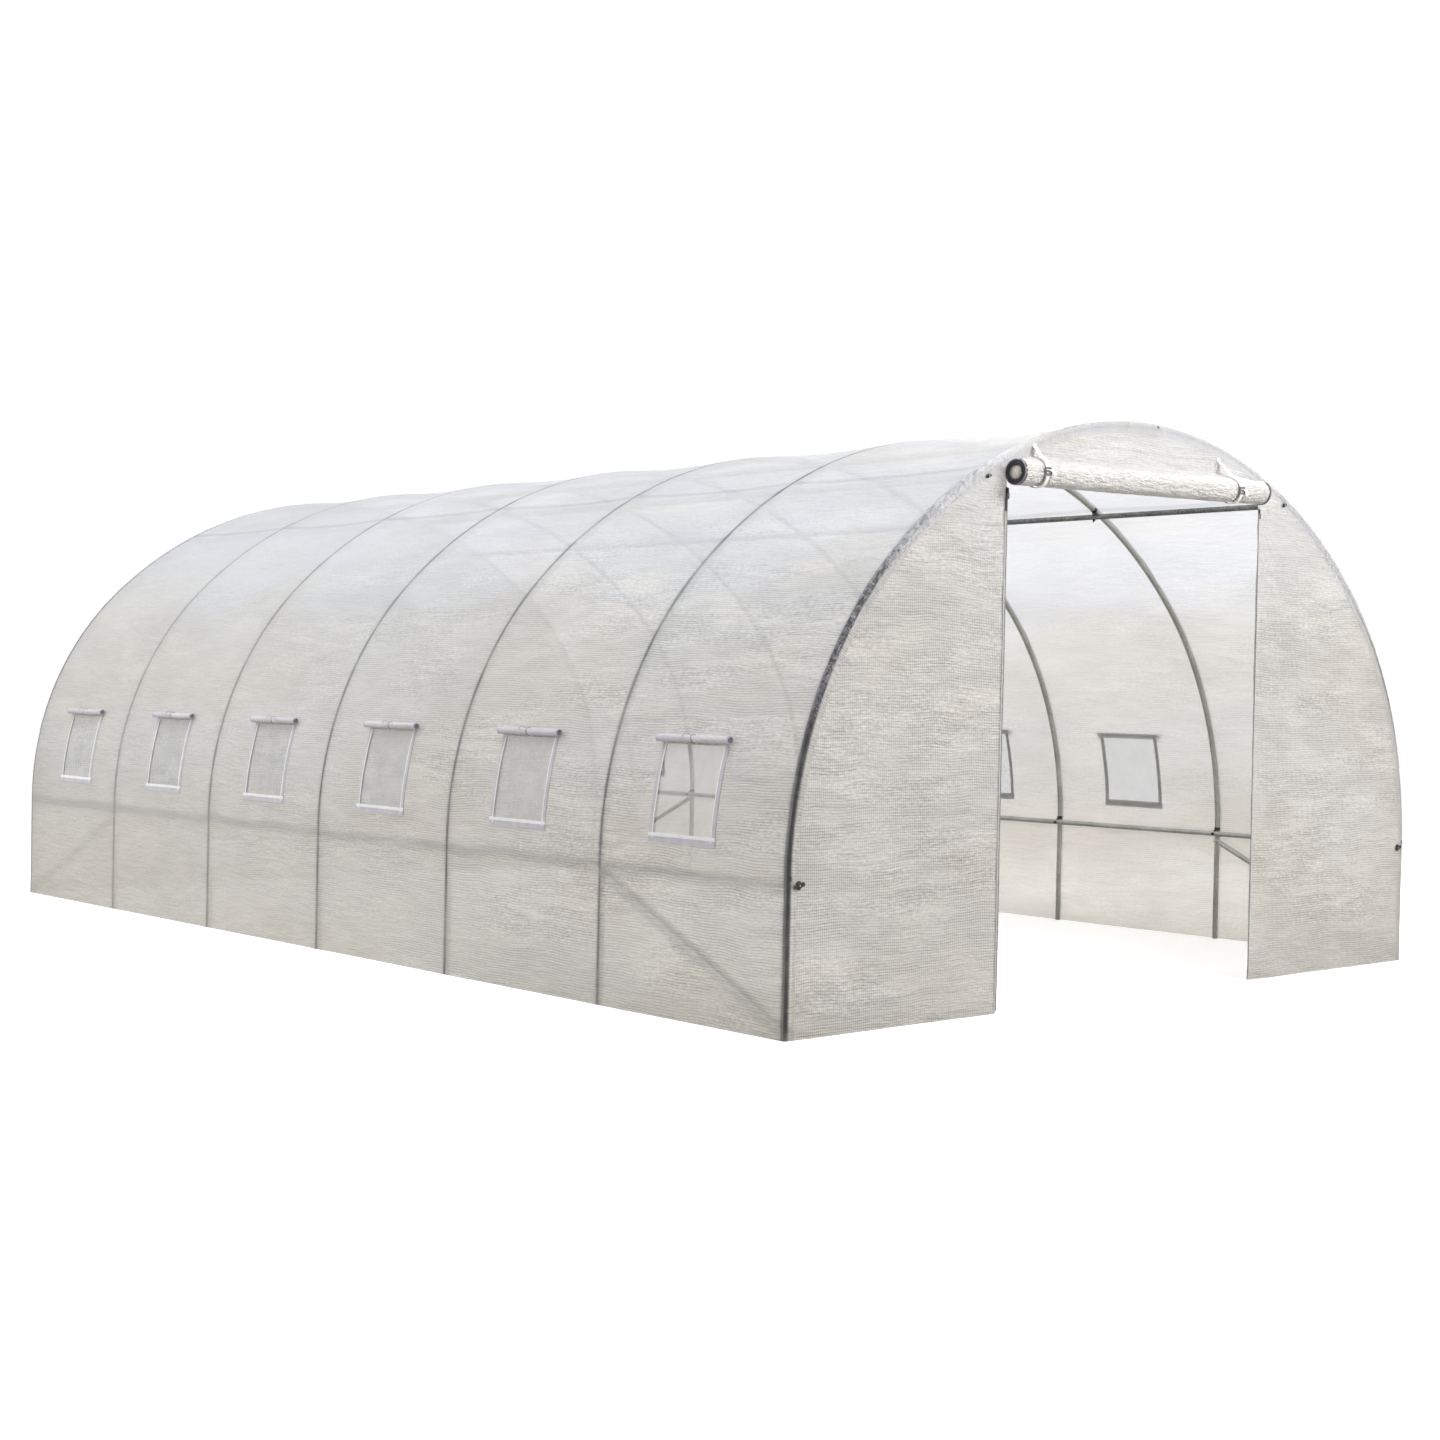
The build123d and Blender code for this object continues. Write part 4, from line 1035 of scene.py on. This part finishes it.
        # dark bound ends and the tie
        for ye, sg in ((xs[0], 1), (xs[-1], -1)):
            n2 = int(3.6 * 20)
            path = np.stack([cx + side * (rr[-n2:] - 0.0002) * np.cos(tt[-n2:]), np.full(n2, ye + sg * 0.0035), cz + (rr[-n2:] - 0.0002) * np.sin(tt[-n2:])], -1)
            hems.ribbon(path, (0, 1.0, 0), 0.007, 0.0019, 0)
            hems.ribbon(path[:30], (0, 1.0, 0), 0.0074, 0.0020, 2)
            hems.lathe((cx, ye + sg * 0.002, cz), (0, sg, 0), [(0, 0.001), (0.0006, 0.0045), (0.006, 0.0048), (0.012, 0.003)], 12, 2)
        ring_t = np.linspace(0, 2 * math.pi, 25)[:-1]
        ring = np.stack([cx + (WROLL_R - 0.0002) * np.cos(ring_t), np.full(24, wy) + 0.002 * np.sin(ring_t), cz + (WROLL_R - 0.0002) * np.sin(ring_t) - 0.0008], -1)
        hems.tube(ring, 0.0011, 6, 2, closed=True)
        # loop and loose ends of the tie
        for sg, ln in ((1, 0.055), (-1, 0.035)):
            k = np.linspace(0, 1, 12)
            lx = cx + side * (0.012 + 0.006 * np.sin(k * math.pi))
            lz = cz + 0.010 + (0.016 * np.sin(k * math.pi) - 0.012 * k if sg > 0 else -0.030 * k)
            hems.tube(np.stack([lx + 0 * k, wy + sg * ln * k, lz], -1), 0.0009, 5, 2 if sg > 0 else 1)
    hob = hems.make("window_hems_" + word, [HEM, HEMW, DARK], "window_flap")

# ------------------------------------------------------------------ bolts, clamps
fix = Solids()


def hexnut(c, axis, af, h, mat, sides=6):
    r = af / 2 / math.cos(math.pi / 6)
    fix.lathe(c, axis, [(0, r * 0.93), (h * 0.12, r), (h * 0.88, r), (h, r * 0.90)], sides, mat)


crossings = []
for name in ("ridge_purlin", "upper_purlin_left", "upper_purlin_right", "lower_purlin_left", "lower_purlin_right"):
    c = middle(name)
    # the arch's inward direction at that purlin
    if "lower" in name:
        nx, nz = (1.0 if c.x < 0 else -1.0), 0.0
    else:
        v = np.array([0 - c.x, Z2 - c.z])
        v /= np.linalg.norm(v)
        nx, nz = v
    for h, y in enumerate(HOOPS):
        crossings.append((name, h, np.array([c.x, y, c.z]), np.array([nx, 0.0, nz])))
for name, h, c, n_in in crossings:
    up = np.array([-n_in[2], 0, n_in[0]])
    if up[2] < 0:
        up = -up
    # bolt from the hoop through the purlin: washer, nut and the bolt's end inside
    p = c + n_in * TUBE
    fix.lathe(p - n_in * 0.0006, n_in, [(0, 0.0085), (0.0016, 0.0085)], 18, 1)
    hexnut(p + n_in * 0.001, n_in, 0.0125, 0.006, 0)
    fix.lathe(p + n_in * 0.004, n_in, [(0, 0.0034), (0.0095, 0.0034), (0.0105, 0.0026)], 10, 0)
    # black clip round the hoop beside the purlin
    if h not in (0, 6) or True:
        hoop_c = c - n_in * (2 * TUBE + 0.0002)
        k = np.radians(np.linspace(-118, 118, 22))
        for off in (0.0235,):
            cc = hoop_c + up * off
            # follow the arch's bend a little
            cc = cc + n_in * (off * off / (2 * R2))
            pts = [cc + n_in * (TUBE + 0.0012) * math.cos(a) + np.array([0, 1.0, 0]) * (TUBE + 0.0012) * math.sin(a) for a in k]
            fix.ribbon(pts, up, 0.016, 0.0018, 0)
            fix.ribbon([cc + n_in * (TUBE + 0.001), cc + n_in * (TUBE + 0.006) - up * 0.004, cc + n_in * (TUBE + 0.013) - up * 0.010], (0, 1.0, 0), 0.010, 0.003, 0)
# black wing nuts through the end films, on the purlins' ends
for name in ("upper_purlin_left", "upper_purlin_right", "lower_purlin_left", "lower_purlin_right"):
    c = middle(name)
    low = "lower" in name
    x = c.x + (math.copysign(0.012, -c.x) if low else 0.0)
    big = 1.45 if low else 0.80
    for y, sg in ((FACE, -1), (REAR, 1)):
        fix.lathe((x, y - sg * 0.0008, c.z), (0, sg, 0), [(0, 0.0105 * big), (0.0018, 0.0110 * big), (0.0030, 0.0080 * big), (0.0075, 0.0070 * big), (0.0082, 0.0056 * big)], 20, 0)
        fix.lathe((x, y, c.z), (0, sg, 0), [(0, 0.0030), (0.0092, 0.0030), (0.0099, 0.0022)], 10, 1)
        for w in (-1, 1):
            tilt = np.array([math.cos(0.2), 0.0, math.sin(0.2)]) * w
            root = np.array([x, y + sg * 0.0046, c.z]) + tilt * 0.004 * big
            tip = root + tilt * 0.0125 * big + np.array([0, sg * 0.0020, 0])
            fix.ribbon([root, (root + tip) / 2, tip], np.array([-math.sin(0.2), 0, math.cos(0.2)]), 0.0110 * big, 0.0030, 0, taper=[0.75, 1.0, 0.80])
fix_ob = fix.make("crossing_bolts", [BLACK, STEEL], "zip_tape")

# foot bolts of the braces
feet = Solids()
for name, sg in (("corner_braces_left", -1), ("corner_braces_right", 1)):
    lo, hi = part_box(name)
    x = (lo.x + hi.x) / 2
    for y, st in ((YF, 1), (YB, -1)):
        for dy, z in ((0.020, 0.037), (0.975, 0.488)):
            c = np.array([x, y + st * dy, z])
            n_in = np.array([-sg, 0, 0.0])
            feet.lathe(c + n_in * TUBE * 0.96, n_in, [(0, 0.0085), (0.002, 0.0085)], 18, 1)
            feet.lathe(c + n_in * (TUBE + 0.001), n_in, [(0, 0.0066), (0.0006, 0.0072), (0.0050, 0.0072), (0.0058, 0.0064)], 6, 1)
            feet.lathe(c + n_in * (TUBE + 0.005), n_in, [(0, 0.0034), (0.006, 0.0034), (0.007, 0.0026)], 10, 1)
feet_ob = feet.make("brace_bolts", [BLACK, STEEL], "galvanised_steel")

# ------------------------------------------------------------------ stage
fl = Net("pale_floor")
co = fl.node("ShaderNodeTexCoord").outputs["Object"]
dist = fl.node("ShaderNodeVectorMath", {"operation": "LENGTH"}, {0: co}).outputs["Value"]
fade = fl.ramp(dist, 4.2, 9.0, 0.0, 1.0)
fp = fl.node("ShaderNodeBsdfPrincipled", None, {"Base Color": (0.92, 0.92, 0.91, 1), "Roughness": 0.9, "Emission Color": (1, 1, 0.99, 1), "Emission Strength": 0.30})
fp.inputs["Specular IOR Level"].default_value = 0.1
fd = fl.node("ShaderNodeBsdfDiffuse", None, {"Color": (0.46, 0.445, 0.41, 1)})
eye = fl.node("ShaderNodeLightPath").outputs["Is Camera Ray"]
fm = fl.node("ShaderNodeMixShader", None, {0: eye, 1: fd.outputs[0], 2: fp.outputs[0]})
fc = fl.node("ShaderNodeBsdfTransparent", None, {"Color": (1, 1, 1, 1)})
floor_mat = fl.done(fl.node("ShaderNodeMixShader", None, {0: fade, 1: fm.outputs[0], 2: fc.outputs[0]}))
me = bpy.data.meshes.new("floor")
ring = [(9.5 * math.cos(a), 9.5 * math.sin(a), -0.0005) for a in np.linspace(0, 2 * math.pi, 97)[:-1]]
me.from_pydata(ring, [], [list(range(96))])
me.materials.append(floor_mat)
floor = bpy.data.objects.new("floor", me)
bpy.context.scene.collection.objects.link(floor)
floor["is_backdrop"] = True

world = bpy.data.worlds.new("studio")
bpy.context.scene.world = world
world.use_nodes = True
wn = world.node_tree
wn.nodes.clear()
out = wn.nodes.new("ShaderNodeOutputWorld")
seen = wn.nodes.new("ShaderNodeBackground")
seen.inputs[0].default_value = (1, 1, 1, 1)
seen.inputs[1].default_value = 1.02
lit = wn.nodes.new("ShaderNodeBackground")
tc = wn.nodes.new("ShaderNodeTexCoord")
sp = wn.nodes.new("ShaderNodeSeparateXYZ")
wn.links.new(tc.outputs["Generated"], sp.inputs[0])
rp = wn.nodes.new("ShaderNodeValToRGB")
rp.color_ramp.elements[0].position = 0.0
rp.color_ramp.elements[0].color = (0.80, 0.79, 0.78, 1)
rp.color_ramp.elements[1].position = 1.0
rp.color_ramp.elements[1].color = (0.93, 0.96, 1.0, 1)
wn.links.new(sp.outputs["Z"], rp.inputs[0])
wn.links.new(rp.outputs[0], lit.inputs[0])
lit.inputs[1].default_value = 0.66
lp = wn.nodes.new("ShaderNodeLightPath")
mx = wn.nodes.new("ShaderNodeMixShader")
wn.links.new(lp.outputs["Is Camera Ray"], mx.inputs[0])
wn.links.new(lit.outputs[0], mx.inputs[1])
wn.links.new(seen.outputs[0], mx.inputs[2])
wn.links.new(mx.outputs[0], out.inputs[0])


def area(name, place, aim, size, power, colour=(1, 1, 1)):
    li = bpy.data.lights.new(name, "AREA")
    li.shape = "RECTANGLE"
    li.size, li.size_y = size
    li.energy = power
    li.color = colour
    ob = bpy.data.objects.new(name, li)
    bpy.context.scene.collection.objects.link(ob)
    ob.location = place
    ob.rotation_euler = (Vector(aim) - Vector(place)).to_track_quat("-Z", "Y").to_euler()
    return ob


area("key", (8.5, 1.5, 7.0), (0.6, -0.3, 0.9), (7.0, 5.0), 840, (1.0, 0.98, 0.96))
area("top", (-3.5, 1.4, 8.0), (-0.6, 0.4, 1.2), (6.0, 8.0), 500, (0.94, 0.97, 1.0))
area("left_fill", (-9.0, 5.0, 3.4), (-2.0, 1.8, 0.9), (3.0, 3.0), 250, (1.0, 0.985, 0.96))
area("front_fill", (0.8, -8.2, 5.6), (0.3, -3.0, 1.9), (4.0, 2.5), 540, (1.0, 0.985, 0.965))
area("back_fill", (0.8, 9.2, 2.2), (0.2, 3.0, 0.9), (4.5, 1.8), 130, (1.0, 0.99, 0.975))

# ------------------------------------------------------------------ camera
yaw, pitch, roll_a = math.radians(42.148), math.radians(-0.663), math.radians(1.219)
cyw, syw = math.cos(yaw), math.sin(yaw)
fwd = Vector((syw * math.cos(pitch), cyw * math.cos(pitch), math.sin(pitch)))
right = Vector((cyw, -syw, 0.0))
upv = right.cross(fwd)
c_, s_ = math.cos(roll_a), math.sin(roll_a)
r2 = right * c_ + upv * s_
u2 = upv * c_ - right * s_
cam_data = bpy.data.cameras.new("camera")
cam_data.sensor_width = 36.0
cam_data.lens = 2077.6 / 1440.0 * 36.0
cam_data.clip_start, cam_data.clip_end = 0.05, 200.0
cam = bpy.data.objects.new("camera", cam_data)
bpy.context.scene.collection.objects.link(cam)
m4 = Matrix((r2, u2, -fwd)).transposed().to_4x4()
m4.translation = Vector((-6.8916, -5.0608 + YF, 1.1671))
cam.matrix_world = m4
bpy.context.scene.camera = cam

vs = bpy.context.scene.view_settings
vs.view_transform = "Standard"
vs.look = "None"
vs.exposure = 0.0
vs.gamma = 1.0

lo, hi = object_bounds()
